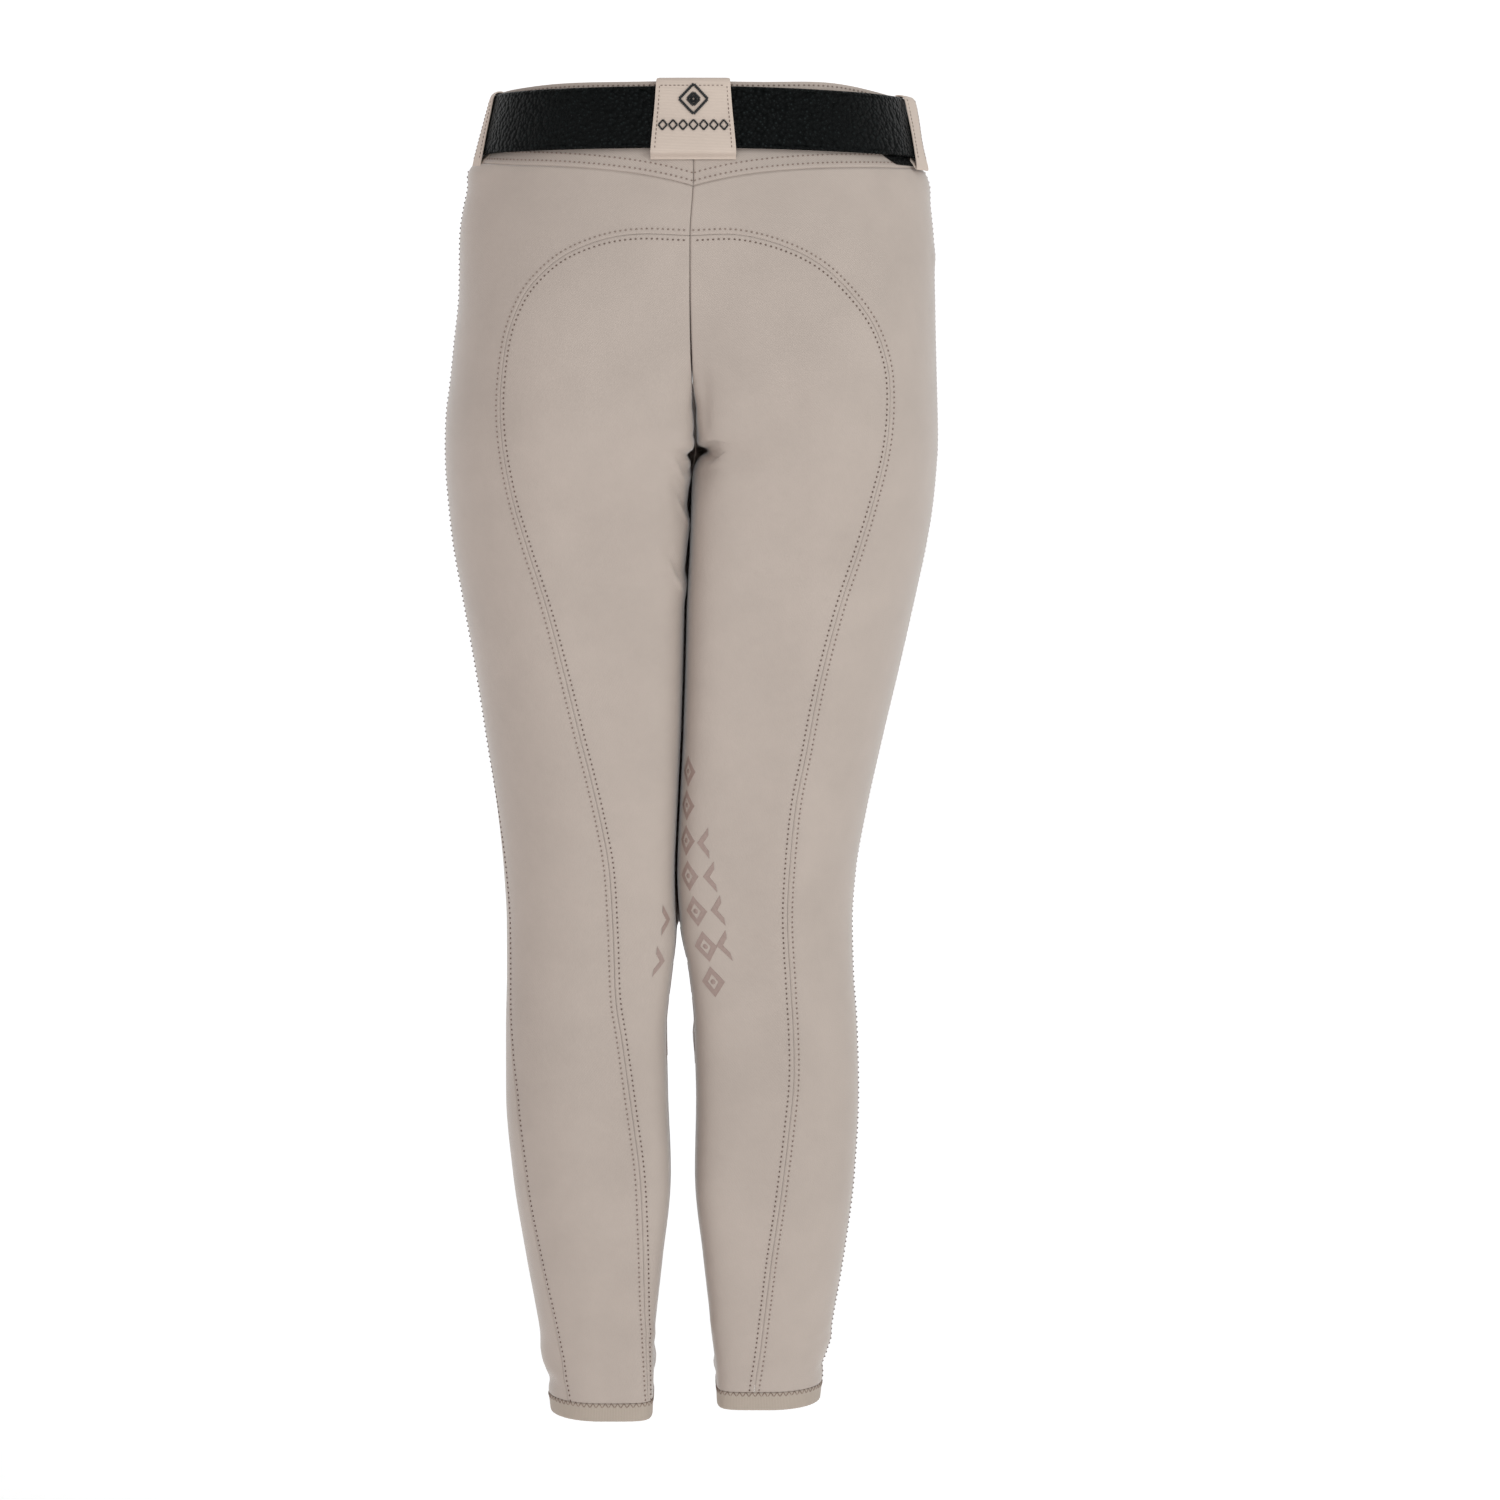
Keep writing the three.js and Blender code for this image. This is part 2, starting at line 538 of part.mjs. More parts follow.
// Solid strip whose sections are loops of equal length, closed by flat ends
function loftGeometry(sections) {
  const size = sections[0].length;
  const faces = [];
  for (let j = 0; j + 1 < sections.length; j += 1) {
    for (let i = 0; i < size; i += 1) {
      const k = (i + 1) % size;
      const [a, b, c, d] = [j * size + i, j * size + k, (j + 1) * size + k, (j + 1) * size + i];
      faces.push([a, b, c], [a, c, d]);
    }
  }
  const end = (sections.length - 1) * size;
  for (let i = 1; i + 1 < size; i += 1) {
    faces.push([0, i + 1, i], [end, end + i, end + i + 1]);
  }
  return indexed(sections.flat(), faces);
}
function facesOut(geometry) {
  const position = geometry.attributes.position;
  const index = geometry.index.array;
  const [a, b, c] = [new THREE.Vector3(), new THREE.Vector3(), new THREE.Vector3()];
  let volume = 0;
  for (let i = 0; i < index.length; i += 3) {
    a.fromBufferAttribute(position, index[i]);
    b.fromBufferAttribute(position, index[i + 1]);
    c.fromBufferAttribute(position, index[i + 2]);
    volume += a.dot(b.cross(c));
  }
  if (volume < 0) {
    for (let i = 0; i < index.length; i += 3) {
      [index[i + 1], index[i + 2]] = [index[i + 2], index[i + 1]];
    }
    geometry.computeVertexNormals();
  }
  return geometry;
}

// Belt: the fixed end starts beside the buckle's bar, the free end laps over it
const BAR_AT = 8;               // the bar's distance past the centre front
const FIXED_END = BAR_AT + 6;
const FREE_LAP = 118;
const RISE_START = -26;
const RISE_END = 4;
const OVER_BAR = 8.1;
const OVER_TAB_END = 44;
const LAP_SETTLE = 66;
const LAP_OFFSET = BELT_OFFSET + BELT_THICK + 0.4;
function beltOffset(distance) {
  const past = distance - BELT_ROUND;
  const rise = smooth((past - RISE_START) / (RISE_END - RISE_START));
  const settle = smooth((past - OVER_TAB_END) / (LAP_SETTLE - OVER_TAB_END));
  return BELT_OFFSET + (OVER_BAR - BELT_OFFSET) * rise - (OVER_BAR - LAP_OFFSET) * settle;
}
function beltGeometry() {
  const step = 9;
  const tipLength = BELT_WIDTH / 2;
  const end = BELT_ROUND + FREE_LAP;
  const count = Math.round((end - tipLength - FIXED_END) / step);
  const stations = Array.from({ length: count + 1 }, (_, i) => mix(FIXED_END, end - tipLength, i / count));
  for (const a of [0.25, 0.5, 0.7, 0.86, 0.96]) stations.push(end - tipLength + tipLength * a);
  const sections = stations.map((distance) => {
    const past = Math.max(0, (distance - (end - tipLength)) / tipLength);
    const half = BELT_WIDTH / 2 * Math.sqrt(1 - past * past);
    const inner = beltOffset(distance);
    const outer = inner + BELT_THICK;
    return [[-half, inner], [half, inner], [half, outer], [-half, outer]]
      .map(([height, offset]) => beltPoint(distance, height, offset));
  });
  return facesOut(loftGeometry(sections));
}

// Hole for the prong, cut through the free end
const HOLE = { from: -13, to: 9, width: 3.6 };
function cutHole(geometry) {
  const sections = [HOLE.from, mix(HOLE.from, HOLE.to, 0.5), HOLE.to].map((past) => {
    const distance = BELT_ROUND + past;
    const low = beltOffset(distance) - 1.2;
    const high = beltOffset(distance) + BELT_THICK + 1.2;
    const half = HOLE.width / 2;
    return [[-half, low], [half, low], [half, high], [-half, high]]
      .map(([height, offset]) => beltPoint(distance, height, offset));
  });
  const cutter = solidOf(facesOut(loftGeometry(sections)));
  return geometryOf(solidOf(geometry).subtract(cutter));
}
function solidOf(geometry) {
  return new wasm.Manifold(new wasm.Mesh({
    numProp: 3,
    vertProperties: new Float32Array(geometry.attributes.position.array),
    triVerts: new Uint32Array(geometry.index.array),
  }));
}
function geometryOf(solid) {
  const mesh = solid.getMesh();
  const geometry = new THREE.BufferGeometry();
  geometry.setAttribute('position', new THREE.BufferAttribute(new Float32Array(mesh.vertProperties), 3));
  geometry.setIndex([...mesh.triVerts]);
  geometry.computeVertexNormals();
  return geometry;
}

// Strip bent along a path of [offset, height] places, swept across the waist
function ribbonGeometry(path, thickness, stations, placeAt) {
  const sides = path.map(([o, h], i) => {
    const [o0, h0] = path[Math.max(0, i - 1)];
    const [o1, h1] = path[Math.min(path.length - 1, i + 1)];
    const size = Math.hypot(o1 - o0, h1 - h0);
    const half = thickness / 2 / size;
    const [across, up] = [(h1 - h0) * half, (o1 - o0) * half];
    return [[o + across, h - up], [o - across, h + up]];
  });
  const outline = [...sides.map(([a]) => a), ...sides.map(([, b]) => b).reverse()];
  const columns = stations.map((station) => (
    outline.map(([offset, height]) => placeAt(station, height, offset))
  ));
  return facesOut(stripGeometry(columns, path.length));
}
// Like a loft, but its ends are filled as the strip of quads between the two sides of the path
function stripGeometry(sections, pathLength) {
  const size = sections[0].length;
  const faces = [];
  for (let j = 0; j + 1 < sections.length; j += 1) {
    for (let i = 0; i < size; i += 1) {
      const k = (i + 1) % size;
      const [a, b, c, d] = [j * size + i, j * size + k, (j + 1) * size + k, (j + 1) * size + i];
      faces.push([a, b, c], [a, c, d]);
    }
  }
  const end = (sections.length - 1) * size;
  for (let i = 0; i + 1 < pathLength; i += 1) {
    const [p, q, r, s] = [i, i + 1, size - 2 - i, size - 1 - i];
    faces.push([p, r, q], [p, s, r], [end + p, end + q, end + r], [end + p, end + r, end + s]);
  }
  return indexed(sections.flat(), faces);
}
// Loops: caught at the waist seam, over the belt, and in at the waistband's top
const LOOP_OUT = BELT_OFFSET + BELT_THICK + LOOP_CLEAR + LOOP_THICK / 2;
const LOOP_IN = LOOP_CLEAR + LOOP_THICK / 2;
const SIDE_LOOP_WIDTH = 20;
const SIDE_LOOP_BEHIND = 10;
const SIDE_LOOP_LOW = -33;
function sideLoopGeometry(side) {
  const { tOut, total } = section(side, 0);
  const t = tOut - SIDE_LOOP_BEHIND / total;
  const distance = side === RIGHT ? (1 - t) * beltLengths.right : CENTRE_BACK + t * beltLengths.left;
  const top = beltMiddle(distance) + BELT_WIDTH / 2 + 2.2;
  const path = [
    [LOOP_IN, SIDE_LOOP_LOW - 1.5], [LOOP_IN + 0.3, SIDE_LOOP_LOW], [LOOP_IN + 2.2, SIDE_LOOP_LOW + 2],
    [LOOP_OUT - 0.8, SIDE_LOOP_LOW + 5], [LOOP_OUT, SIDE_LOOP_LOW + 8], [LOOP_OUT, -10], [LOOP_OUT, 5],
    [LOOP_OUT, top - 2], [LOOP_OUT - 1, top + 0.2], [LOOP_IN + 0.2, top + 1.4],
  ];
  const stations = [-1, -0.33, 0.33, 1].map((s) => distance + s * SIDE_LOOP_WIDTH / 2);
  return ribbonGeometry(path, LOOP_THICK, stations, bandPoint);
}
const BACK_LOOP_TOP = 51;
const BACK_LOOP_BOTTOM = 54;
const BACK_LOOP_LOW = -27.5;
const BACK_LOOP_TUCK = 12;
function backLoopGeometry() {
  const fold = waistTopZ(RIGHT, 0) + 0.9;
  const inside = -CLOTH - LOOP_CLEAR - LOOP_THICK / 2;
  const path = [
    [LOOP_IN, BACK_LOOP_LOW], [LOOP_IN + 0.4, BACK_LOOP_LOW + 1.6], [LOOP_OUT - 1, BACK_LOOP_LOW + 4.6],
    [LOOP_OUT, BACK_LOOP_LOW + 7], [LOOP_OUT, -10], [LOOP_OUT, 5], [LOOP_OUT, fold - 3],
    [LOOP_OUT - 1.2, fold - 0.6], [LOOP_IN + 1, fold + 0.6], [inside + 2.6, fold + 0.7],
    [inside + 0.9, fold + 0.3], [inside, fold - 1], [inside, fold - BACK_LOOP_TUCK],
  ];
  const stations = [-1, -0.6, -0.2, 0.2, 0.6, 1];
  return ribbonGeometry(path, LOOP_THICK, stations, (s, z, offset) => {
    const half = mix(BACK_LOOP_BOTTOM, BACK_LOOP_TOP, smooth((z - BACK_LOOP_LOW) / 50)) / 2;
    return bandPoint(CENTRE_BACK - s * half, z, offset);
  });
}

// Leather layer under the belt on the right side, with an S-curved rear end
const BACKING = { rearX: 126, frontAt: 84, thick: 1.3, clear: 0.4, top: 13, inset: 1.5, drop: 8, curve: 16 };
function backingGeometry() {
  const rearT = tOfX(RIGHT, BACKING.rearX, 0);
  const length = (1 - rearT) * beltLengths.right - BACKING.frontAt;
  const steps = 24;
  const rows = [0, 0.2, 0.4, 0.7, 1].map((share) => Array.from({ length: steps + 1 }, (_, i) => {
    const along = length * i / steps;
    const t = rearT + along / beltLengths.right;
    const middle = aroundWaist(BELT_LINE, RIGHT, t);
    const low = middle - BELT_WIDTH / 2 + BACKING.inset - BACKING.drop * smooth(along / BACKING.curve);
    return { t, z: mix(low, middle + BACKING.top, share) };
  }));
  return clothGeometry(RIGHT, chartMesh([{ rows }]), BACKING.thick, BACKING.clear + BACKING.thick);
}

// Round bar along a path of belt places [distance past the centre front, height, offset]
function barGeometry(places, radius, closed) {
  const sides = 8;
  const centres = places.map(([past, height, offset]) => beltPoint(BELT_ROUND + past, height, offset));
  const count = centres.length;
  const rings = [];
  let normal = null;
  for (let i = 0; i < count; i += 1) {
    const before = centres[closed ? (i + count - 1) % count : Math.max(0, i - 1)];
    const after = centres[closed ? (i + 1) % count : Math.min(count - 1, i + 1)];
    const tangent = after.clone().sub(before).normalize();
    if (!normal) {
      const helper = Math.abs(tangent.y) < 0.7 ? new THREE.Vector3(0, 1, 0) : new THREE.Vector3(0, 0, 1);
      normal = helper;
    }
    normal = normal.clone().addScaledVector(tangent, -normal.dot(tangent)).normalize();
    const second = tangent.clone().cross(normal);
    rings.push(Array.from({ length: sides }, (_, k) => {
      const a = k / sides * Math.PI * 2;
      return centres[i].clone()
        .addScaledVector(normal, radius * Math.cos(a))
        .addScaledVector(second, radius * Math.sin(a));
    }));
  }
  return facesOut(closed ? closedSkin(rings, true) : loftGeometry(rings));
}

// Buckle
const WIRE = 1.5;
const TIP_AT = -32;
const FRAME_HALF = BELT_WIDTH / 2 + 3;
const BAR_OFFSET = 4.2;
const TIP_OFFSET = BELT_OFFSET + BELT_THICK + 0.3 + WIRE;
function framePlaces() {
  const corner = 5;
  const places = [];
  const middle = (BAR_AT + TIP_AT) / 2;
  const half = (BAR_AT - TIP_AT) / 2;
  for (let quarter = 0; quarter < 4; quarter += 1) {
    const signs = [[1, 1], [-1, 1], [-1, -1], [1, -1]][quarter];
    for (let k = 0; k <= 4; k += 1) {
      const a = (quarter + k / 4) * Math.PI / 2;
      places.push([
        middle + signs[0] * (half - corner) + corner * Math.cos(a),
        signs[1] * (FRAME_HALF - corner) + corner * Math.sin(a),
      ]);
    }
    const [nx, ny] = [[-1, 1], [-1, -1], [1, -1], [1, 1]][quarter];
    const here = places[places.length - 1];
    const a = (quarter + 1) * Math.PI / 2;
    const next = [
      middle + nx * (half - corner) + corner * Math.cos(a),
      ny * (FRAME_HALF - corner) + corner * Math.sin(a),
    ];
    for (const s of [0.25, 0.5, 0.75]) places.push([mix(here[0], next[0], s), mix(here[1], next[1], s)]);
  }
  return places.map(([past, height]) => {
    const share = smooth((BAR_AT - past) / (BAR_AT - TIP_AT));
    return [past, height, mix(BAR_OFFSET, TIP_OFFSET, share)];
  });
}
const PRONG = 0.9;
function prongPlaces() {
  const ring = WIRE + 0.3 + PRONG;
  const places = [];
  for (let k = 0; k <= 8; k += 1) {
    const a = THREE.MathUtils.degToRad(mix(-170, 90, k / 8));
    places.push([BAR_AT + ring * Math.cos(a), 0, BAR_OFFSET + ring * Math.sin(a)]);
  }
  const rest = TIP_OFFSET + WIRE + 0.3 + PRONG;
  places.push(
    [2, 0, BAR_OFFSET + ring + 0.9],
    [-6, 0, rest - 0.9],
    [-16, 0, rest],
    [TIP_AT, 0, rest],
    [TIP_AT - 3, 0, rest - 0.2],
  );
  return places;
}
const TAB = { thick: 1.2, clear: 0.3, long: 30, inner: 5, outer: 19.5 };
function tabGeometry(direction) {
  const wrap = WIRE + TAB.clear + TAB.thick / 2;
  const innerOffset = BELT_OFFSET - TAB.clear - TAB.thick / 2;
  const outerOffset = BELT_OFFSET + BELT_THICK + TAB.clear + TAB.thick / 2;
  const path = [
    [innerOffset, BAR_AT + TAB.long],
    [innerOffset, BAR_AT + 6],
    ...Array.from({ length: 9 }, (_, k) => {
      const a = mix(-Math.PI / 2, -Math.PI * 1.5, k / 8);
      return [BAR_OFFSET + wrap * Math.sin(a), BAR_AT + wrap * Math.cos(a)];
    }),
    [outerOffset, BAR_AT + 6],
    [outerOffset, BAR_AT + TAB.long],
  ];
  const heights = [TAB.inner, mix(TAB.inner, TAB.outer, 0.5), TAB.outer].map((h) => h * direction);
  const placeAt = (height, past, offset) => beltPoint(BELT_ROUND + past, height, offset);
  return ribbonGeometry(path, TAB.thick, heights, placeAt);
}
const KEEPER = { at: 74, width: 10, thick: 1.3, clear: 0.35 };
function keeperGeometry() {
  const low = BELT_OFFSET - KEEPER.clear - KEEPER.thick;
  const high = LAP_OFFSET + BELT_THICK + KEEPER.clear + KEEPER.thick;
  const half = BELT_WIDTH / 2 + KEEPER.clear + KEEPER.thick;
  const loop = (inset) => [
    [-half + inset, low + inset], [0, low + inset], [half - inset, low + inset],
    [half - inset, high - inset], [0, high - inset], [-half + inset, high - inset],
  ];
  const at = (s, inset) => {
    const distance = BELT_ROUND + KEEPER.at + s * KEEPER.width / 2;
    return loop(inset).map(([height, offset]) => beltPoint(distance, height, offset));
  };
  return facesOut(closedSkin([at(-1, 0), at(1, 0), at(1, KEEPER.thick), at(-1, KEEPER.thick)], true));
}

// Fly placket: a flap on the left front panel, rounded at its foot
const FLY = { width: 36, inset: 2, bottom: -186, thick: 1.2, offset: 1.75 };
function flyGeometry() {
  const across = 6;
  const down = 12;
  const rows = [];
  for (let j = 0; j <= down; j += 1) {
    const share = j / down;
    const z = mix(FLY.bottom, waistSeamZ(LEFT, 1) - 0.6, share);
    const { total } = section(LEFT, z);
    const reach = FLY.width * Math.sqrt(1 - (1 - Math.min(1, share * 3.2 + 0.1)) ** 2);
    rows.push(Array.from({ length: across + 1 }, (_, i) => ({
      t: 1 - mix(reach, FLY.inset, i / across) / total,
      z,
    })));
  }
  return clothGeometry(LEFT, chartMesh([{ rows }]), FLY.thick, FLY.offset);
}

// Materials
const material = (color, roughness, metalness = 0) => (
  new THREE.MeshStandardMaterial({ color, roughness, metalness })
);
const clothMaterial = material(0xbcb0a6, 0.85);
const loopMaterial = material(0xd0c0b4, 0.85);
const hemMaterial = material(0xb2a896, 0.9);
const leatherMaterial = material(0x161a1a, 0.5);
const steelMaterial = material(0xb8bcc0, 0.3, 1);

const breeches = new THREE.Group();
breeches.name = 'riding_breeches';
function add(name, geometry, itsMaterial) {
  const mesh = new THREE.Mesh(geometry, itsMaterial);
  mesh.name = name;
  breeches.add(mesh);
}

for (const side of [LEFT, RIGHT]) {
  const name = sideName(side);
  const lines = sideLines(side);
  const back = backChart(side, lines);
  const front = frontChart(side, lines);
  add(`seat_${name}`, clothGeometry(side, seatChart(side, lines), CLOTH), clothMaterial);
  add(`back_${name}`, clothGeometry(side, back.chart, CLOTH), clothMaterial);
  front.charts.forEach((chart, k) => {
    add(`front_${name}_${FRONT_STRETCHES[k]}`, clothGeometry(side, chart, CLOTH), clothMaterial);
  });
  const waistband = waistbandChart(side, back.top, front.top);
  add(`waistband_${name}`, clothGeometry(side, waistband, CLOTH), clothMaterial);
  const seamT = lines.samples[0].t;
  const sideT = sideSeamT(side, hemJoinZ(side));
  const hemTs = [
    ...between({ t: 0, z: 0 }, { t: seamT, z: 0 }, ARCH_STEPS),
    ...between({ t: seamT, z: 0 }, { t: sideT, z: 0 }, BACK_COLUMNS).slice(1),
    ...between({ t: sideT, z: 0 }, { t: 1, z: 0 }, FRONT_COLUMNS).slice(1, -1),
  ].map((p) => p.t);
  add(`hem_${name}`, facesOut(hemGeometry(side, hemTs)), hemMaterial);
  add(`loop_${name}`, sideLoopGeometry(side), loopMaterial);
}
add('loop_back', backLoopGeometry(), loopMaterial);
add('fly', flyGeometry(), clothMaterial);
add('belt', cutHole(beltGeometry()), leatherMaterial);
add('belt_backing', backingGeometry(), leatherMaterial);
add('buckle_frame', barGeometry(framePlaces(), WIRE, true), steelMaterial);
add('buckle_prong', barGeometry(prongPlaces(), PRONG, false), steelMaterial);
add('buckle_tab_upper', tabGeometry(1), leatherMaterial);
add('buckle_tab_lower', tabGeometry(-1), leatherMaterial);
add('belt_keeper', keeperGeometry(), leatherMaterial);

export default breeches;
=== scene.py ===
"""Riding breeches in worn shape, with a leather belt: the cloth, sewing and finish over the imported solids.

Lengths in the tables are millimetres in the garment's frame, with its back towards -Y.
A place on the cloth is t, from 0 at the centre back to 1 at the centre front round one half,
and the height z.
"""
import math

import bpy
import numpy as np
from mathutils import Euler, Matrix
from mathutils.kdtree import KDTree


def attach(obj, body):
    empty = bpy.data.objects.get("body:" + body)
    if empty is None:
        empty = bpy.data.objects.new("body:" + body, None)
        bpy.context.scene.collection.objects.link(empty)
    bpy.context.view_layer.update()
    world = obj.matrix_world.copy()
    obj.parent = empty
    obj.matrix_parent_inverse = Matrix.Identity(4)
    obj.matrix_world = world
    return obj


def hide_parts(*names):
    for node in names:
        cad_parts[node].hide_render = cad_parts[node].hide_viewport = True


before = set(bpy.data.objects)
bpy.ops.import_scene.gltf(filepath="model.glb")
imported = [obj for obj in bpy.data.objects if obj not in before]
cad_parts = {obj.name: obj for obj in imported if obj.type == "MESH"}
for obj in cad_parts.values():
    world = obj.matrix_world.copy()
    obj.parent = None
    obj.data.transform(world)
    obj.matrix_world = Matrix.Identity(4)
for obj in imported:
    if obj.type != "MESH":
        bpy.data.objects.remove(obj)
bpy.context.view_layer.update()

MM = 0.001
LEFT = -1
RIGHT = 1
SIDE_NAME = {LEFT: "left", RIGHT: "right"}
random = np.random.default_rng(7)

# Driving sizes, the same as the solids'
SEAM_GAP = 0.2
WALL = 1.6
BELT_WIDTH = 42.0
BELT_THICK = 3.5
BELT_OFFSET = 2.6
LOOP_THICK = 1.3
LOOP_CLEAR = 0.4
CROTCH_Z = -240.0
LEG_STRIDE = 14.0
STRIDE_TOP = -300.0
STRIDE_LENGTH = 600.0
HEM_BAND = 13.0
HEM_BOTTOM = {"left": -912.0, "right": -907.0}

# Cross sections: z first, then the columns that half_outlines names
SECTIONS = [
    [34, 130.5, 140.5, 1.0, 0.15, 0.00, -97, -6, 0.00, 78, -97, 78, 0.0, 2.15],
    [20, 132.7, 142.5, 1.0, 0.15, 0.00, -99, -6, 0.00, 81, -99, 81, 0.0, 2.15],
    [0, 137.0, 149.5, 1.0, 0.15, 0.00, -102, -6, 0.00, 85, -102, 85, 0.0, 2.15],
    [-21, 144.3, 156.0, 1.0, 0.15, 0.00, -105, -6, 0.00, 89, -105, 89, 0.0, 2.15],
    [-36, 154.0, 162.6, 1.0, 0.15, 0.03, -107.5, -6, 0.02, 91.5, -107.5, 91.5, 0.0, 2.2],
    [-80, 162.4, 169.0, -1.4, 0.15, 0.20, -115, -5, 0.15, 97, -114.5, 97, 0.1, 2.2],
    [-115, 163.0, 170.0, -1.4, 0.15, 0.32, -121, -4, 0.25, 99, -118.5, 98.5, 0.2, 2.2],
    [-150, 166.5, 170.8, -0.8, 0.15, 0.40, -125, -4, 0.32, 99, -118, 97, 0.35, 2.2],
    [-180, 169.7, 171.7, 0.4, 0.15, 0.42, -126, -4, 0.38, 98, -109, 91, 0.6, 2.15],
    [-200, 172.3, 172.3, 1.6, 0.15, 0.44, -125, -4, 0.42, 97, -97, 80, 0.8, 2.1],
    [-215, 173.0, 172.6, 2.4, 0.15, 0.45, -123, -4, 0.44, 96, -81, 64, 0.95, 2.1],
    [-226, 173.2, 172.5, 2.4, 0.20, 0.46, -120.6, -4, 0.45, 95, -60, 44, 1.0, 2.05],
    [-234, 173.0, 172.0, 1.2, 0.30, 0.46, -118.2, -4, 0.46, 94.2, -36, 18, 1.0, 2.05],
    [-240, 172.8, 171.6, -0.4, 0.40, 0.46, -116.2, -4, 0.46, 93.7, -12, -12, 1.0, 2.05],
    [-262, 171.1, 169.6, -1.4, 0.50, 0.48, -108, -4, 0.48, 92.2, -11, -11, 1.0, 2.0],
    [-290, 168.2, 165.4, -2.2, 0.50, 0.50, -99, -3, 0.50, 91, -9, -9, 1.0, 2.0],
    [-330, 161.4, 157.2, -4.2, 0.50, 0.50, -92, -1, 0.50, 90, -6, -6, 1.0, 2.0],
    [-380, 152.7, 146.3, -5.5, 0.50, 0.50, -84, 1, 0.50, 87, -2, -2, 1.0, 2.0],
    [-430, 145.1, 134.8, -7.2, 0.50, 0.50, -77, 3, 0.50, 83, 1, 1, 1.0, 2.0],
    [-480, 138.0, 124.0, -9.6, 0.50, 0.50, -69, 4, 0.50, 79, 3, 3, 1.0, 2.0],
    [-525, 133.6, 116.4, -11.3, 0.60, 0.50, -62, 5, 0.50, 74, 5, 5, 1.0, 2.0],
    [-560, 131.8, 114.1, -9.8, 1.20, 0.50, -57.5, 5, 0.50, 69, 5, 5, 1.0, 2.0],
    [-595, 131.7, 114.8, -8.1, 6.10, 0.50, -56.5, 3, 0.50, 65, 4, 4, 1.0, 2.0],
    [-635, 132.4, 117.4, -8.2, 9.90, 0.50, -60, -1, 0.50, 60, 0, 0, 1.0, 2.0],
    [-682, 132.3, 118.5, -7.1, 10.00, 0.50, -66, -6, 0.50, 54, -5, -5, 1.0, 2.0],
    [-740, 127.4, 115.8, -6.5, 8.60, 0.50, -66, -8, 0.50, 49, -7, -7, 1.0, 2.0],
    [-798, 118.4, 108.9, -6.5, 14.30, 0.50, -58, -6, 0.50, 45, -6, -6, 1.0, 2.0],
    [-850, 109.3, 100.4, -6.5, 19.80, 0.50, -48, -3, 0.50, 43, -3, -3, 1.0, 2.0],
    [-885, 104.2, 94.5, -5.0, 22.20, 0.50, -43, 0, 0.50, 42, 0, 0, 1.0, 2.0],
    [-930, 99.0, 89.5, -5.2, 24.00, 0.50, -40, 1, 0.50, 42, 1, 1, 1.0, 2.0],
]

# Curved seam round the seat panel, as x and z seen from behind, from the hem over the arch to the centre
SEAT_SEAM = {
    LEFT: [
        [-31, -925], [-31, -897], [-33.3, -826], [-34.5, -774], [-36.5, -731], [-41.6, -690], [-49, -637],
        [-53.2, -610], [-55, -564], [-58, -514], [-63, -485], [-69.3, -456], [-78.2, -420], [-89.3, -374],
        [-100.3, -332], [-113, -292], [-123, -257], [-128.8, -225], [-130.8, -198], [-130, -178],
        [-126, -149], [-121, -133], [-113, -117], [-101.7, -104], [-89.4, -94], [-74.5, -86.5],
        [-55.5, -80.5], [-35, -78], [-1.4, -79],
    ],
    RIGHT: [
        [42, -925], [44, -895], [48, -867], [52.8, -825], [56.3, -794], [62.5, -749], [68.3, -700],
        [71.5, -665], [71, -630], [68.9, -595], [66.8, -554], [67.7, -524], [72.3, -471], [79.1, -435],
        [87.4, -390], [96.9, -350], [104, -325], [114.9, -292], [125, -257], [132.4, -225], [135.2, -194],
        [133.3, -167], [123.9, -140], [108, -118], [87.6, -99], [62.9, -86.4], [31.5, -78.6], [-1.4, -79],
    ],
}

# Side seam: z, then its distance behind the outermost point on the left and on the right
SIDE_SEAMS = [
    [-925, 39, 4], [-880, 37, 4], [-740, 36, 2], [-685, 34, 0], [-650, 26, -2],
    [-600, 19, -4], [-540, 19, -6], [-400, 4, -8], [-250, 0, -6], [40, 0, -4],
]

# Heights of the panels' rows: on the centre seam or inseam, and on the seat panel's seam
LEG_ROWS = [-870, -835, -800, -765, -730, -695, -660, -625, -592, -560, -525, -490,
            -450, -410, -370, -335, -300, -275, -256]
SEAT_CENTRE_ROWS = [-240, -234, -226, -215, -200, -180, -155, -130, -105, -79]
SEAT_OUTER_ROWS = [-240, -232, -222, -209, -195, -178, -160, -143, -130, -118]
YOKE_SHARES = [1 / 3, 2 / 3, 1]
ARCH_COLUMNS = 7
OUTER_COLUMNS = 5

# Heights that run round the waist
WAIST_TOP = {"back": 25.5, "left": 22.5, "right": 18.5, "front": 16.0}
WAIST_TOP_RISE = {LEFT: 1.3, RIGHT: 3.8}
WAIST_RISE_AT = 0.26
WAIST_RISE_REACH = 0.11
WAIST_SEAM = {"back": -29.5, "left": -28.0, "right": -30.5, "front": -36.0}
BELT_LINE = {"back": 1.0, "left": 0.0, "right": -2.5, "front": -7.0}
SEAM_POINT = 16.0
SEAM_POINT_REACH = 52.0


def smooth(share):
    share = np.clip(share, 0.0, 1.0)
    return share * share * (3.0 - 2.0 * share)


def mix(a, b, share):
    return a + (b - a) * share


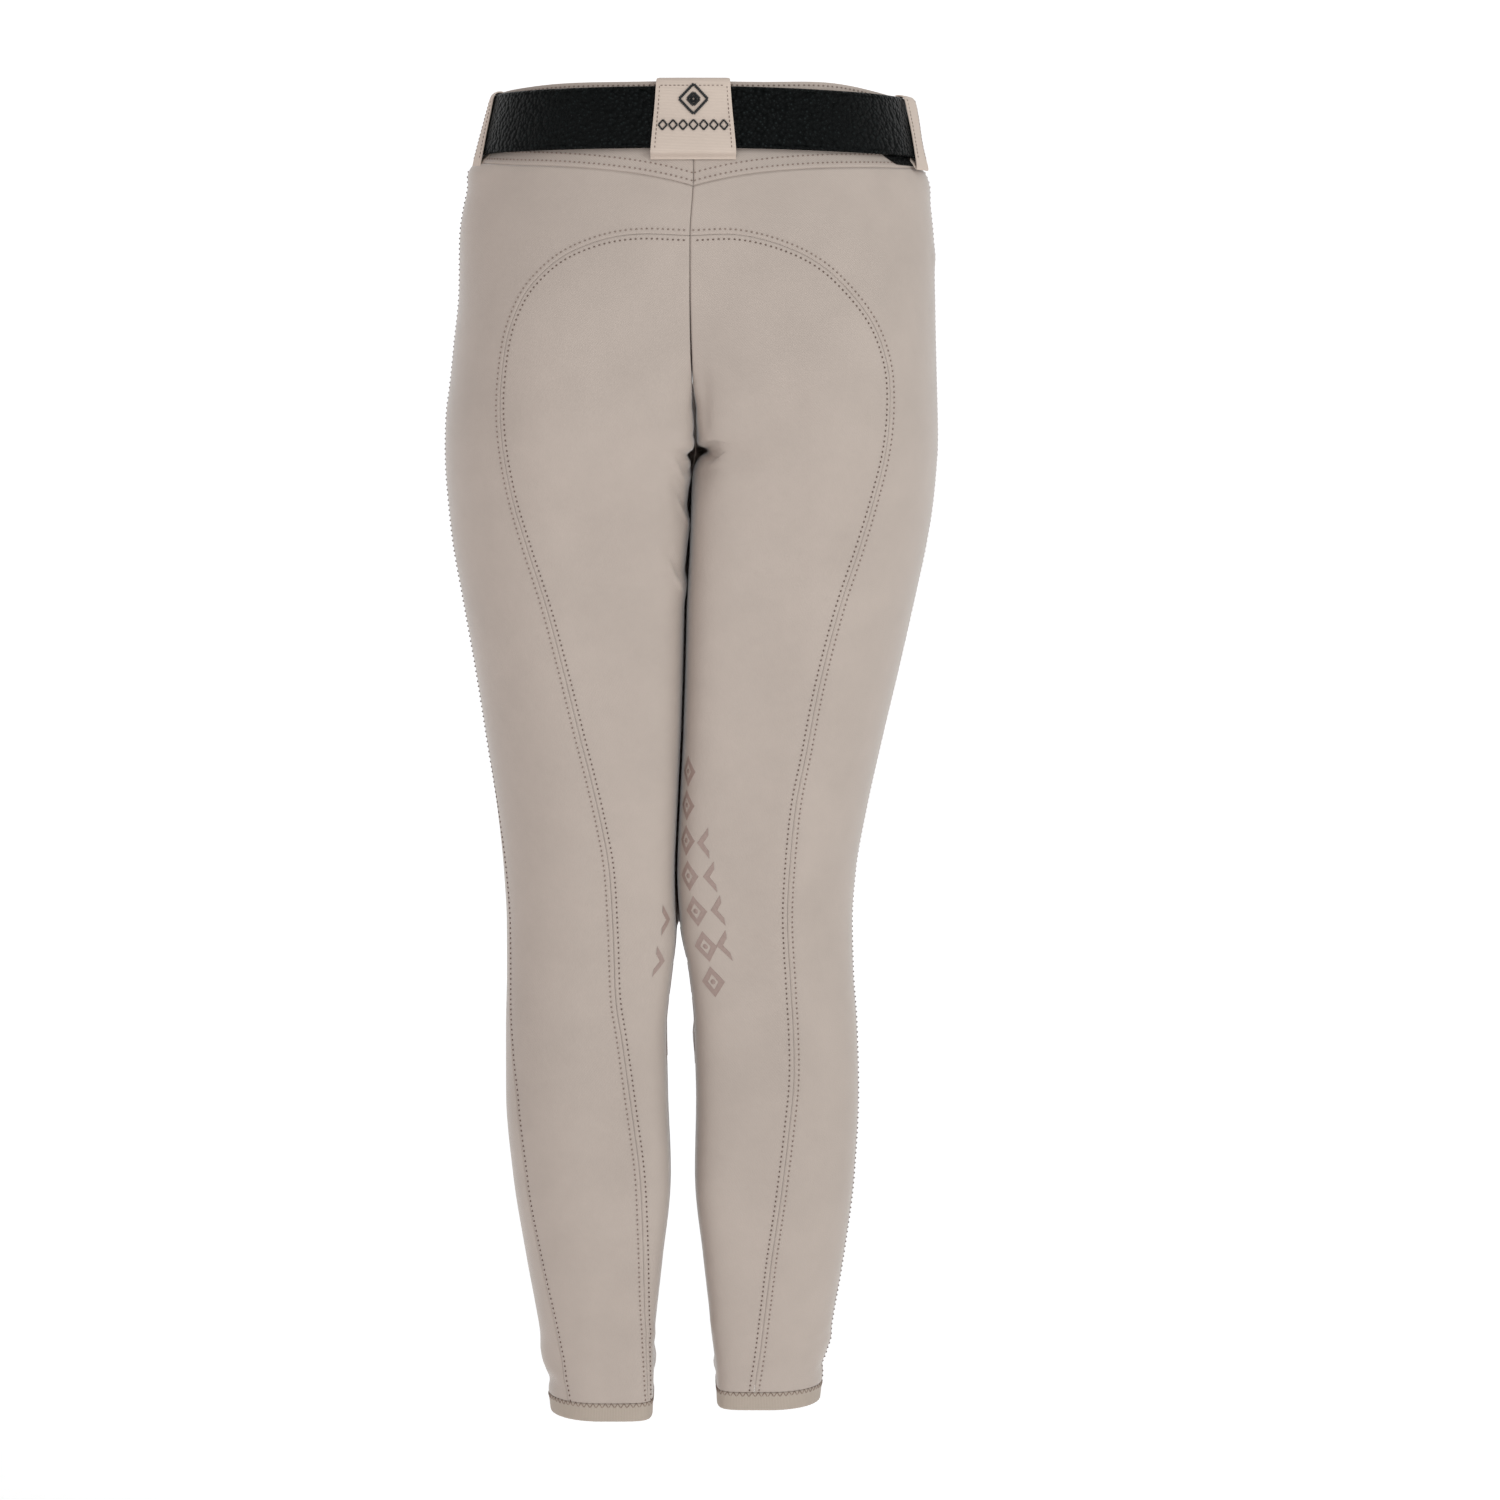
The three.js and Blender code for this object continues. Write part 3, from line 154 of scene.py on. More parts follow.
def read_table(rows, x):
    """Monotone cubic through the rows by their first column: a row of values for each x."""
    rows = np.array(sorted(rows), float)
    xs = rows[:, 0]
    ys = rows[:, 1:]
    h = np.diff(xs)[:, None]
    d = np.diff(ys, axis=0) / h
    slope = np.zeros_like(ys)
    slope[0] = d[0]
    slope[-1] = d[-1]
    w1 = 2 * h[1:] + h[:-1]
    w2 = h[1:] + 2 * h[:-1]
    same = d[:-1] * d[1:] > 0
    before = np.where(same, d[:-1], 1.0)
    after = np.where(same, d[1:], 1.0)
    slope[1:-1] = np.where(same, (w1 + w2) / (w1 / before + w2 / after), 0.0)
    x = np.atleast_1d(np.asarray(x, float))
    i = np.clip(np.searchsorted(xs, x, side="right") - 1, 0, len(xs) - 2)
    s = ((x - xs[i]) / h[i, 0])[:, None]
    start = (1 + 2 * s) * (1 - s) ** 2 * ys[i] + s * (1 - s) ** 2 * h[i] * slope[i]
    end = s * s * (3 - 2 * s) * ys[i + 1] + s * s * (s - 1) * h[i] * slope[i + 1]
    return start + end


# Outer face of the breeches
VALLEY_STEPS = 110
ROUND_STEPS = 110
T_COUNT = 901
Z_LOW = -935.0
Z_HIGH = 45.0
Z_STEP = 1.0
CREASE_STEPS = 16
VALLEY_POWER = 0.36
CREASE_SPREAD = 10.0

# Laps of the cloth in front of the gap: size, the height below which each grows, and its place
FRONT_LAP = 0.25
FRONT_LAP_TOP = -215.0
FRONT_LAP_FADE = 22.0
THIGH_LAP = 1.8
THIGH_LAP_TOP = -200.0
THIGH_LAP_FADE = 25.0
THIGH_LAP_GAP = 2.2
THIGH_LAP_GAP_FADE = 1.2
THIGH_LAP_AT = 0.12
THIGH_LAP_WIDTH = 0.07

# Crease between the halves at the back: z, its width left and right of the middle, and its depth
CREASE = [
    [-935, 0.0, 0.0, 0], [-570, 0.0, 0.0, 0], [-548, 0.3, 0.3, 0], [-335, 0.3, 0.3, 0],
    [-319, -0.9, 0.3, 0], [-308, 1.2, 0.3, 0], [-292, 0.3, 0.3, 0], [-276, -1.0, 0.3, 0],
    [-264, 1.3, 0.3, 0], [-252, 0.5, 0.3, 0], [-243, -0.8, 0.4, 0], [-236, 1.2, 0.8, 6],
    [-232, 2.4, 1.8, 14], [-229.5, 4.4, 3.2, 24], [-227.5, 5.4, 5.4, 30], [-225.6, 3.4, 8.4, 32],
    [-223.9, 1.6, 7.4, 32], [-222.2, 0.8, 2.6, 30], [-219, 0.5, 0.8, 28], [-214, 1.3, 0.8, 26],
    [-208, 0.6, 0.7, 24], [-201, 0.4, 0.9, 22], [-195, 0.9, 1.4, 18], [-190, 0.6, 1.0, 12],
    [-184, 0.2, 0.4, 6], [-174, 0.0, 0.0, 0], [45, 0.0, 0.0, 0],
]


def valley(from_x, from_y, to_x, to_y, crease, s):
    soft_y = mix(from_y, to_y, (1 - np.cos(np.pi * s)) / 2)
    deep_x = mix(from_x, to_x, 1 - np.cos(s * np.pi / 2) ** VALLEY_POWER)
    deep_y = mix(from_y, to_y, np.sin(s * np.pi / 2) ** VALLEY_POWER)
    return np.stack([mix(mix(from_x, to_x, s), deep_x, crease), mix(soft_y, deep_y, crease)], axis=-1)


def half_outlines(side, z):
    """Outline of one half at each height, from the centre back round the side to the centre front."""
    values = read_table(SECTIONS, z)[:, :, None]
    (left, right, mid, half, back_x, back_y, side_y, front_x, front_y,
     seam_back, seam_front, crease, square) = (values[:, k] for k in range(13))
    crease_left, crease_right, crease_depth = (read_table(CREASE, z)[:, k:k + 1] for k in range(3))
    outer = side * (left if side == LEFT else right)
    inner = mid + side * half
    opening = side * (crease_left if side == LEFT else crease_right)
    front_half = mix(-FRONT_LAP, half, smooth((FRONT_LAP_TOP - z) / FRONT_LAP_FADE)[:, None])
    inner_front = mid + side * front_half
    back_x = mix(inner, outer, back_x)
    front_x = mix(inner_front, outer, front_x)
    power = 2 / square
    s = np.linspace(0, 1, VALLEY_STEPS, endpoint=False)[None, :]
    a = np.linspace(0, np.pi / 2, ROUND_STEPS + 1)[None, :]
    sin_a = np.sin(a) ** power
    cos_a = np.clip(np.cos(a), 0, 1) ** power
    into = np.linspace(0, 1, CREASE_STEPS, endpoint=False)[None, :]
    back_crease = np.stack([inner + opening * smooth(into * 3),
                            mix(seam_back + crease_depth, seam_back, into)], axis=-1)
    back_valley = valley(inner, seam_back, back_x, back_y, crease, s)
    back_valley[:, :, 0] += opening * np.exp(-np.abs(back_valley[:, :, 0] - inner) / CREASE_SPREAD)
    back_round = np.stack([mix(back_x, outer, sin_a), mix(side_y, back_y, cos_a)], axis=-1)[:, :-1]
    front_round = np.stack([mix(front_x, outer, cos_a), mix(side_y, front_y, sin_a)], axis=-1)
    front_valley = valley(inner_front, seam_front, front_x, front_y, crease, s)
    near = smooth((THIGH_LAP_GAP - half) / THIGH_LAP_GAP_FADE)
    lap = (half + THIGH_LAP) * near * smooth((THIGH_LAP_TOP - z) / THIGH_LAP_FADE)[:, None]
    front_valley[:, :, 0] -= side * lap * np.exp(-((s - THIGH_LAP_AT) / THIGH_LAP_WIDTH) ** 2)
    parts = [back_crease, back_valley, back_round, front_round, front_valley[:, ::-1]]
    outline = np.concatenate(parts, axis=1)
    if side == RIGHT:
        outline[:, :, 1] += LEG_STRIDE * smooth((STRIDE_TOP - z) / STRIDE_LENGTH)[:, None]
    return outline


class Half:
    """Outer face of one half, tabulated by height and by place round it."""

    def __init__(self, side):
        self.side = side
        self.heights = np.arange(Z_LOW, Z_HIGH + Z_STEP / 2, Z_STEP)
        outline = half_outlines(side, self.heights)
        steps = np.linalg.norm(np.diff(outline, axis=1), axis=2)
        lengths = np.concatenate([np.zeros((len(steps), 1)), np.cumsum(steps, axis=1)], axis=1)
        self.totals = lengths[:, -1]
        self.outs = lengths[:, CREASE_STEPS + VALLEY_STEPS + ROUND_STEPS] / self.totals
        places = np.linspace(0, 1, T_COUNT)
        self.xy = np.empty((len(steps), T_COUNT, 2))
        for j, total in enumerate(self.totals):
            for k in (0, 1):
                self.xy[j, :, k] = np.interp(places * total, lengths[j], outline[j, :, k])

    def total(self, z):
        return np.interp(z, self.heights, self.totals)

    def from_outermost(self, t, z):
        return (t - np.interp(z, self.heights, self.outs)) * self.total(z)

    def at_distance(self, distance, z):
        """Place at a distance in front of the outermost point."""
        return np.clip(np.interp(z, self.heights, self.outs) + distance / self.total(z), 0, 1)

    def point(self, t, z):
        t, z = np.broadcast_arrays(np.asarray(t, float), np.asarray(z, float))
        row = np.clip((z - Z_LOW) / Z_STEP, 0, len(self.heights) - 1.001)
        j = row.astype(int)
        a = (row - j)[..., None]
        column = np.clip(t, 0, 1) * (T_COUNT - 1)
        i = np.minimum(column.astype(int), T_COUNT - 2)
        b = (column - i)[..., None]
        low = mix(self.xy[j, i], self.xy[j, i + 1], b)
        high = mix(self.xy[j + 1, i], self.xy[j + 1, i + 1], b)
        return np.concatenate([mix(low, high, a), z[..., None]], axis=-1)

    def normal(self, t, z):
        step_t = 0.006
        step_z = 1.5
        along = self.point(np.minimum(t + step_t, 1), z) - self.point(np.maximum(t - step_t, 0), z)
        up = self.point(t, z + step_z) - self.point(t, z - step_z)
        normal = np.cross(along, up) * self.side
        return normal / np.maximum(np.linalg.norm(normal, axis=-1, keepdims=True), 1e-9)

    def t_of_x(self, x, z):
        """Place on the back at each x, between the centre and the outermost point."""
        result = []
        for one_x, one_z in zip(x, z):
            j = int(round((one_z - Z_LOW) / Z_STEP))
            end = int(self.outs[j] * (T_COUNT - 1)) + 1
            places = np.linspace(0, self.outs[j], end)
            xs = self.point(places, one_z)[:, 0] * self.side
            result.append(np.interp(one_x * self.side, np.maximum.accumulate(xs), places))
        return np.array(result)

    def side_seam(self, z):
        """Place of the side seam at each height."""
        z = np.atleast_1d(np.asarray(z, float))
        behind = read_table(SIDE_SEAMS, z)[:, 0 if self.side == LEFT else 1]
        return np.interp(z, self.heights, self.outs) - behind / self.total(z)


HALVES = {LEFT: Half(LEFT), RIGHT: Half(RIGHT)}


def around_waist(edge, side, t):
    at_side = edge[SIDE_NAME[side]]
    behind = mix(edge["back"], at_side, smooth(t * 2))
    before = mix(at_side, edge["front"], smooth(t * 2 - 1))
    return np.where(t < 0.5, behind, before)


def waist_seam_z(side, t):
    distance = t * HALVES[side].total(-30.0)
    return around_waist(WAIST_SEAM, side, t) - SEAM_POINT * np.exp(-distance / SEAM_POINT_REACH)


def waist_top_z(side, t):
    rise = WAIST_TOP_RISE[side] * np.exp(-((t - WAIST_RISE_AT) / WAIST_RISE_REACH) ** 2)
    return around_waist(WAIST_TOP, side, t) + rise


def hem_join_z(side):
    return HEM_BOTTOM[SIDE_NAME[side]] + HEM_BAND


def through_points(points, steps):
    """Centripetal Catmull-Rom curve, with its ends carried on straight."""
    points = np.array(points, float)
    points = np.vstack([2 * points[0] - points[1], points, 2 * points[-1] - points[-2]])
    segments = len(points) - 3
    result = []
    for place in np.linspace(0, segments, steps + 1):
        k = min(int(place), segments - 1)
        s = place - k
        p0, p1, p2, p3 = points[k:k + 4]
        d0, d1, d2 = (max(1e-4, np.sum((b - a) ** 2) ** 0.25) for a, b in ((p0, p1), (p1, p2), (p2, p3)))
        t1 = ((p1 - p0) / d0 - (p2 - p0) / (d0 + d1) + (p2 - p1) / d1) * d1
        t2 = ((p2 - p1) / d1 - (p3 - p1) / (d1 + d2) + (p3 - p2) / d2) * d1
        c2 = -3 * p1 + 3 * p2 - 2 * t1 - t2
        c3 = 2 * p1 - 2 * p2 + t1 + t2
        result.append(p1 + t1 * s + c2 * s * s + c3 * s ** 3)
    return np.array(result)


class SeatSeam:
    """Chart places along the seat panel's seam, from the hem to the centre back."""

    def __init__(self, half):
        curve = through_points(SEAT_SEAM[half.side], 1200)
        self.half = half
        self.z = curve[:, 1]
        self.t = half.t_of_x(curve[:, 0], self.z)
        self.t[-1] = 0.0
        self.corner = int(np.argmax(self.z > SEAT_OUTER_ROWS[-1]))

    def beside(self, distance):
        """The seam moved sideways, outwards of the seat panel where distance is positive."""
        across = self.half.from_outermost(self.t, self.z)
        along = np.gradient(across)
        up = np.gradient(self.z)
        size = np.maximum(np.hypot(along, up), 1e-6)
        z = self.z - distance * along / size
        return self.half.at_distance(across + distance * up / size, z), z


SEAMS = {side: SeatSeam(half) for side, half in HALVES.items()}

# Grids of the panels, fine at their edges
EDGE_STEPS = np.array([0, 0.35, 0.75, 1.2, 1.8, 2.5, 3.3, 4.2, 5.3])
CELL = 3.0
SEAT_CELL = 2.0
FRONT_CELL = 3.6
CREASE_ROWS = np.concatenate([
    np.arange(-320, -236, 2.0), np.arange(-236, -216, 0.7), np.arange(-216, -180, 1.2),
])
# Rough length round one half, and height of the stretches above the seat panel and in the waistband
HALF_ROUND = 430.0
BAND_HEIGHT = 55.0


def spread(length, start=EDGE_STEPS, end=EDGE_STEPS, cell=CELL):
    """Distances along a length: fine steps at its ends and even ones between."""
    count = max(2, round((length - start[-1] - end[-1]) / cell))
    middle = np.linspace(start[-1], length - end[-1], count + 1)[1:-1]
    return np.concatenate([start, middle, length - end[::-1]])


def columns(widths, start=EDGE_STEPS, end=EDGE_STEPS, cell=CELL):
    """Shares of each row's width, with as many columns in each row."""
    count = max(2, round((widths.max() - start[-1] - end[-1]) / cell))
    middle = np.linspace(0, 1, count + 1)[1:-1]
    widths = widths[:, None]
    low = np.broadcast_to(start, (len(widths), len(start)))
    even = start[-1] + middle * (widths - start[-1] - end[-1])
    return np.concatenate([low, even, widths - end[::-1]], axis=1) / widths


def row_places(centre, outer, fine_z=()):
    """Fine places between the rows of a panel, counted in rows, with more of them at the heights given."""
    mean = (np.abs(np.diff(centre)) + np.abs(np.diff(outer))) / 2
    lengths = np.concatenate([[0], np.cumsum(mean)])
    ranks = np.arange(len(lengths))
    even = np.interp(spread(lengths[-1]), lengths, ranks)
    return np.unique(np.round(np.concatenate([even, np.interp(fine_z, centre, ranks)]), 4))


def inseam_shift(half, z):
    return np.where(z <= CROTCH_Z, SEAM_GAP / 2 / half.total(z), 0.0)


def leg_heights(side):
    hem = hem_join_z(side)
    centre = np.array([hem, *LEG_ROWS, *SEAT_CENTRE_ROWS], float)
    outer = np.array([hem, *LEG_ROWS, *SEAT_OUTER_ROWS], float)
    return centre, outer


def seat_grid(half):
    seam = SEAMS[half.side]
    seam_t, seam_z = seam.beside(-SEAM_GAP / 2)
    centre, outer = leg_heights(half.side)
    last = len(centre) - 1
    arch_start = last + 1 - len(SEAT_CENTRE_ROWS)
    row = row_places(centre, outer, CREASE_ROWS)
    centre_z = np.interp(row, np.arange(last + 1), centre)
    outer_z = np.interp(row, np.arange(last + 1), outer)
    centre_t = inseam_shift(half, centre_z)
    outer_t = np.interp(outer_z, seam_z[:seam.corner + 1], seam_t[:seam.corner + 1])
    share = columns((outer_t - centre_t) * half.total((centre_z + outer_z) / 2), cell=SEAT_CELL)
    t = mix(centre_t[:, None], outer_t[:, None], share)
    z = mix(centre_z[:, None], outer_z[:, None], share)
    arch = mix(len(seam_t) - 1, seam.corner, share)
    places = np.arange(len(seam_t))
    climb = smooth((row - arch_start) / (last - arch_start))[:, None]
    t = t + (np.interp(arch, places, seam_t) - mix(centre_t[-1], outer_t[-1], share)) * climb
    z = z + (np.interp(arch, places, seam_z) - mix(centre_z[-1], outer_z[-1], share)) * climb
    z[0] += SEAM_GAP / 2
    return [(t, z)]


def back_grid(half):
    seam = SEAMS[half.side]
    seam_t, seam_z = seam.beside(SEAM_GAP / 2)
    outer = leg_heights(half.side)[1]
    row = row_places(outer, outer)
    z_rows = np.interp(row, np.arange(len(outer)), outer)
    start_t = np.interp(z_rows, seam_z[:seam.corner + 1], seam_t[:seam.corner + 1])
    end_t = half.side_seam(z_rows) - SEAM_GAP / 2 / half.total(z_rows)
    share = columns((end_t - start_t) * half.total(z_rows))
    leg_t = mix(start_t[:, None], end_t[:, None], share)
    leg_z = np.broadcast_to(z_rows[:, None], leg_t.shape).copy()
    leg_z[0] += SEAM_GAP / 2

    arch_length = float(np.sum(np.hypot(np.diff(seam_t[seam.corner:]) * HALF_ROUND,
                                      np.diff(seam_z[seam.corner:]))))
    arch_share = spread(arch_length, end=np.array([0.0])) / arch_length
    arch_place = mix(len(seam_t) - 1, seam.corner, arch_share[:-1])
    bottom_t = np.concatenate([np.interp(arch_place, np.arange(len(seam_t)), seam_t), leg_t[-1]])
    bottom_z = np.concatenate([np.interp(arch_place, np.arange(len(seam_z)), seam_z), leg_z[-1]])
    rank = np.concatenate([arch_share[:-1] * ARCH_COLUMNS, ARCH_COLUMNS + share[-1] * OUTER_COLUMNS])
    even = rank / (ARCH_COLUMNS + OUTER_COLUMNS) * bottom_t[-1]
    rise = (spread(BAND_HEIGHT) / BAND_HEIGHT)[:, None]
    t = mix(bottom_t, even, rise * 0.8)
    z = mix(bottom_z, waist_seam_z(half.side, t) - SEAM_GAP / 2, rise)
    edge_t = half.side_seam(z[:, -1]) - SEAM_GAP / 2 / half.total(z[:, -1])
    t = t * (edge_t / t[:, -1])[:, None]
    return [(leg_t, leg_z), (t, z)]


def front_grid(half):
    centre, outer = leg_heights(half.side)
    side_top = float(waist_seam_z(half.side, 0.5))
    front_top = float(waist_seam_z(half.side, 1.0))
    outer = np.concatenate([outer, [mix(outer[-1], side_top, s) for s in YOKE_SHARES]])
    centre = np.concatenate([centre, [mix(centre[-1], front_top, s) for s in YOKE_SHARES]])
    last = len(centre) - 1
    row = row_places(centre, outer)
    side_z = np.interp(row, np.arange(last + 1), outer)
    centre_z = np.interp(row, np.arange(last + 1), centre)
    start_t = half.side_seam(side_z) + SEAM_GAP / 2 / half.total(side_z)
    end_t = 1 - inseam_shift(half, centre_z)
    share = columns((end_t - start_t) * half.total((centre_z + side_z) / 2), cell=FRONT_CELL)
    t = mix(start_t[:, None], end_t[:, None], share)
    z = mix(side_z[:, None], centre_z[:, None], share)
    below = mix(outer[-2], centre[-2], share)
    top = np.clip(row - (last - 1), 0, 1)[:, None]
    z = np.where(top > 0, mix(below, waist_seam_z(half.side, t) - SEAM_GAP / 2, top), z)
    z[0] += SEAM_GAP / 2
    return [(t, z)]


def waistband_grid(half):
    length = half.total(0.0)
    t = (spread(length) / length)[None, :]
    low = waist_seam_z(half.side, t) + SEAM_GAP / 2
    rise = (spread(BAND_HEIGHT) / BAND_HEIGHT)[:, None]
    return [np.broadcast_arrays(t, mix(low, waist_top_z(half.side, t), rise))]


# Raised and sunk lines of the sewing, by distance to the line
class Line:
    """A line on the cloth, with the relief that it gives: pairs of height and width."""

    def __init__(self, points, relief):
        self.points = points
        self.relief = relief
        self.tree = KDTree(len(points))
        for k, point in enumerate(points):
            self.tree.insert(point, k)
        self.tree.balance()
        self.reach = 2.6 * max(width for _, width in relief)

    def distance(self, points):
        """Distance of each point to the line, and infinity past its reach."""
        near = np.full(len(points), np.inf)
        low = self.points.min(axis=0) - self.reach
        high = self.points.max(axis=0) + self.reach
        cell = 12.0
        keys = {tuple(key) for key in np.floor(self.points / cell).astype(int)}
        steps = [(i, j, k) for i in (-1, 0, 1) for j in (-1, 0, 1) for k in (-1, 0, 1)]
        around = {(x + i, y + j, z + k) for x, y, z in keys for i, j, k in steps}
        inside = np.all((points > low) & (points < high), axis=1)
        cells = np.floor(points / cell).astype(int)
        chosen = [n for n in np.nonzero(inside)[0] if tuple(cells[n]) in around]
        if not chosen:
            return near
        chosen = np.array(chosen)
        nearest = np.array([self.tree.find(points[n])[1] for n in chosen])
        best = np.full(len(chosen), np.inf)
        for shift in (-1, 0):
            a = self.points[np.clip(nearest + shift, 0, len(self.points) - 2)]
            b = self.points[np.clip(nearest + shift, 0, len(self.points) - 2) + 1]
            span = b - a
            s = np.sum((points[chosen] - a) * span, axis=1) / np.maximum(np.sum(span * span, axis=1), 1e-9)
            foot = a + span * np.clip(s, 0, 1)[:, None]
            best = np.minimum(best, np.linalg.norm(points[chosen] - foot, axis=1))
        near[chosen] = best
        return near

    def height(self, points):
        distance = self.distance(points)
        return sum(amount * np.exp(-(distance / width) ** 2) for amount, width in self.relief)


SEAM_RELIEF = [(0.28, 3.0), (-0.62, 0.7)]
PLAIN_RELIEF = [(0.12, 3.0), (-0.6, 0.7)]
ROW_RELIEF = [(-0.04, 0.9)]
TOPSTITCH = 3.4
CLEFT_Z = -184.0
APART_Z = -575.0


def resampled(t, z, half, step):
    """The same line with even steps on the cloth."""
    points = half.point(t, z)
    lengths = np.concatenate([[0], np.cumsum(np.linalg.norm(np.diff(points, axis=0), axis=1))])
    count = max(2, round(lengths[-1] / step))
    places = np.linspace(0, lengths[-1], count + 1)
    return np.interp(places, lengths, t), np.interp(places, lengths, z)


def seam_lines(half):
    """Chart lines of the seams and stitch rows of one half: name, t, z, relief and whether thread shows."""
    side = half.side
    seam = SEAMS[side]
    inseam_z = np.arange(hem_join_z(side), APART_Z, 2.0)
    centre_z = np.arange(CLEFT_Z, float(waist_top_z(side, 0.0)), 2.0)
    front_z = np.arange(CLEFT_Z, float(waist_seam_z(side, 1.0)), 2.0)
    side_z = np.arange(hem_join_z(side), -29.0, 2.0)
    round_t = np.linspace(0, 1, 300)
    side_t = half.side_seam(side_z)
    side_row_t = side_t - 2.6 / half.total(side_z)
    sewn = seam.z > hem_join_z(side) + 0.5
    waist = waist_seam_z(side, round_t)
    top = waist_top_z(side, round_t)
    hem_t = np.linspace(0, 1, 120)
    lines = [
        ("seat", seam.t[sewn], seam.z[sewn], SEAM_RELIEF, False),
        ("seat_inner_row", *(line[sewn] for line in seam.beside(-TOPSTITCH)), ROW_RELIEF, True),
        ("seat_outer_row", *(line[sewn] for line in seam.beside(TOPSTITCH)), ROW_RELIEF, True),
        ("side", side_t, side_z, PLAIN_RELIEF, False),
        ("side_row", side_row_t, side_z, ROW_RELIEF, True),
        ("inseam", np.zeros_like(inseam_z), inseam_z, PLAIN_RELIEF, False),
        ("centre_back", np.zeros_like(centre_z), centre_z, [(-0.8, 0.6)], False),
        ("centre_front", np.ones_like(front_z), front_z, [(-0.6, 0.8)], False),
        ("waist", round_t, waist, [(0.25, 3.0), (-1.0, 0.75)], False),
        ("waist_row", round_t, waist + 3.4, ROW_RELIEF, True),
        ("waist_second_row", round_t, waist + 8.8, ROW_RELIEF, True),
        ("waist_top_row", round_t, top - 2.4, ROW_RELIEF, True),
        ("hem", hem_t, np.full_like(hem_t, hem_join_z(side)), [(0.25, 3.0), (-0.6, 0.6)], False),
    ]
    return lines


LINES = {}
STITCH_ROWS = []
for side, half in HALVES.items():
    LINES[side] = []
    for name, t, z, relief, threaded in seam_lines(half):
        t, z = resampled(t, z, half, 1.0)
        LINES[side].append(Line(half.point(t, z), relief))
        if threaded:
            STITCH_ROWS.append((name, half, t, z))

# Folds: side, place t, height z, direction in degrees from level, length, width, height, bend
FOLDS = [
    (LEFT, 0.24, -560, 34, 40, 7.0, -0.6, 2),
    (LEFT, 0.12, -848, 18, 40, 5.0, 0.9, 3),
    (LEFT, 0.30, -862, -14, 44, 5.0, -0.8, 2),
    (LEFT, 0.42, -878, 16, 40, 5.0, 0.9, 2),
    (LEFT, 0.50, -32, 0, 110, 8.0, 3.8, 0),
    (RIGHT, 0.50, -41, 0, 110, 9.5, 2.2, 0),
    (LEFT, 0.50, -868, 4, 54, 9.0, 1.8, 0),
    (LEFT, 0.50, -889, -6, 50, 4.5, -1.8, 0),
    (LEFT, 0.00, -860, 8, 34, 5.0, -1.4, 0),
    (LEFT, 0.00, -874, -6, 30, 5.0, 1.3, 0),
    (LEFT, 0.01, -886, 6, 28, 4.0, -1.5, 0),
    (RIGHT, 0.26, -620, 16, 42, 6.5, -0.6, -2),
    (RIGHT, 0.14, -850, -16, 40, 5.0, 0.9, -3),
    (RIGHT, 0.30, -866, 14, 42, 5.0, -0.8, 2),
    (RIGHT, 0.40, -852, 20, 40, 5.0, 0.8, 2),
    (RIGHT, 0.50, -862, -5, 50, 7.0, 1.4, 0),
    (RIGHT, 0.50, -880, 4, 44, 4.5, -1.5, 0),
    (RIGHT, 0.00, -644, 6, 40, 8.0, 1.2, 0),
    (RIGHT, 0.00, -868, -6, 30, 4.5, -1.5, 0),
    (RIGHT, 0.00, -881, 5, 30, 4.5, 1.5, 0),
    (RIGHT, 0.49, -91, 8, 36, 7.0, 0.9, 0),
    (LEFT, 0.80, -560, -16, 60, 6.5, 0.8, 4),
    (LEFT, 0.78, -582, -8, 56, 6.0, -0.9, 3),
    (LEFT, 0.82, -606, 12, 52, 6.5, 0.7, -3),
    (RIGHT, 0.80, -556, 18, 58, 6.5, 0.8, -4),
    (RIGHT, 0.78, -578, 10, 54, 6.0, -0.9, 3),
    (RIGHT, 0.83, -600, -12, 50, 6.5, 0.7, 3),
    (LEFT, 0.76, -866, 12, 44, 5.0, 0.9, 2),
    (LEFT, 0.68, -880, -14, 40, 5.0, -0.9, 2),
    (RIGHT, 0.75, -858, -14, 44, 5.0, 0.9, 2),
    (RIGHT, 0.66, -876, 12, 40, 5.0, -0.9, -2),
    (LEFT, 0.93, -226, -28, 46, 5.0, 0.9, 3),
    (LEFT, 0.92, -212, -34, 52, 5.5, -0.9, 3),
    (RIGHT, 0.93, -224, -26, 48, 5.0, 0.9, 3),
    (RIGHT, 0.92, -208, -36, 54, 5.5, -0.9, 3),
]

# The same on the back, with the place given as x
BACK_FOLDS = [
    (LEFT, -8, -239, 53, 18, 2.4, 1.5, -1),
    (LEFT, -7, -267, 62, 24, 2.6, 1.6, -2),
    (LEFT, -9, -256, 60, 22, 4.5, -1.2, -2),
    (LEFT, -11, -313, 62, 24, 2.8, 1.4, -2),
    (LEFT, -13, -302, 60, 22, 4.8, -1.0, -2),
    (LEFT, -20, -230, -10, 50, 11.0, -3.2, 3),
    (LEFT, -40, -212, -30, 90, 20.0, -2.6, 3),
    (LEFT, -58, -300, 40, 90, 16.0, -0.7, 5),
    (LEFT, -52, -590, 14, 52, 6.5, -0.6, 4),
    (RIGHT, 20, -228, -14, 54, 11.5, -3.6, 3),
    (RIGHT, 34, -212, 34, 100, 22.0, -5.0, 3),
    (RIGHT, 8, -190, 88, 44, 5.0, -1.4, 0),
    (RIGHT, 46, -561, -29, 46, 5.0, 0.9, 2),
    (RIGHT, 50, -572, -30, 44, 5.0, -0.9, 2),
    (RIGHT, 57, -585, -26, 50, 6.0, 0.7, 3),
    (RIGHT, 36, -604, -20, 44, 5.5, 0.6, 3),
    (RIGHT, 120, -96, 58, 60, 9.0, 0.6, 5),
]


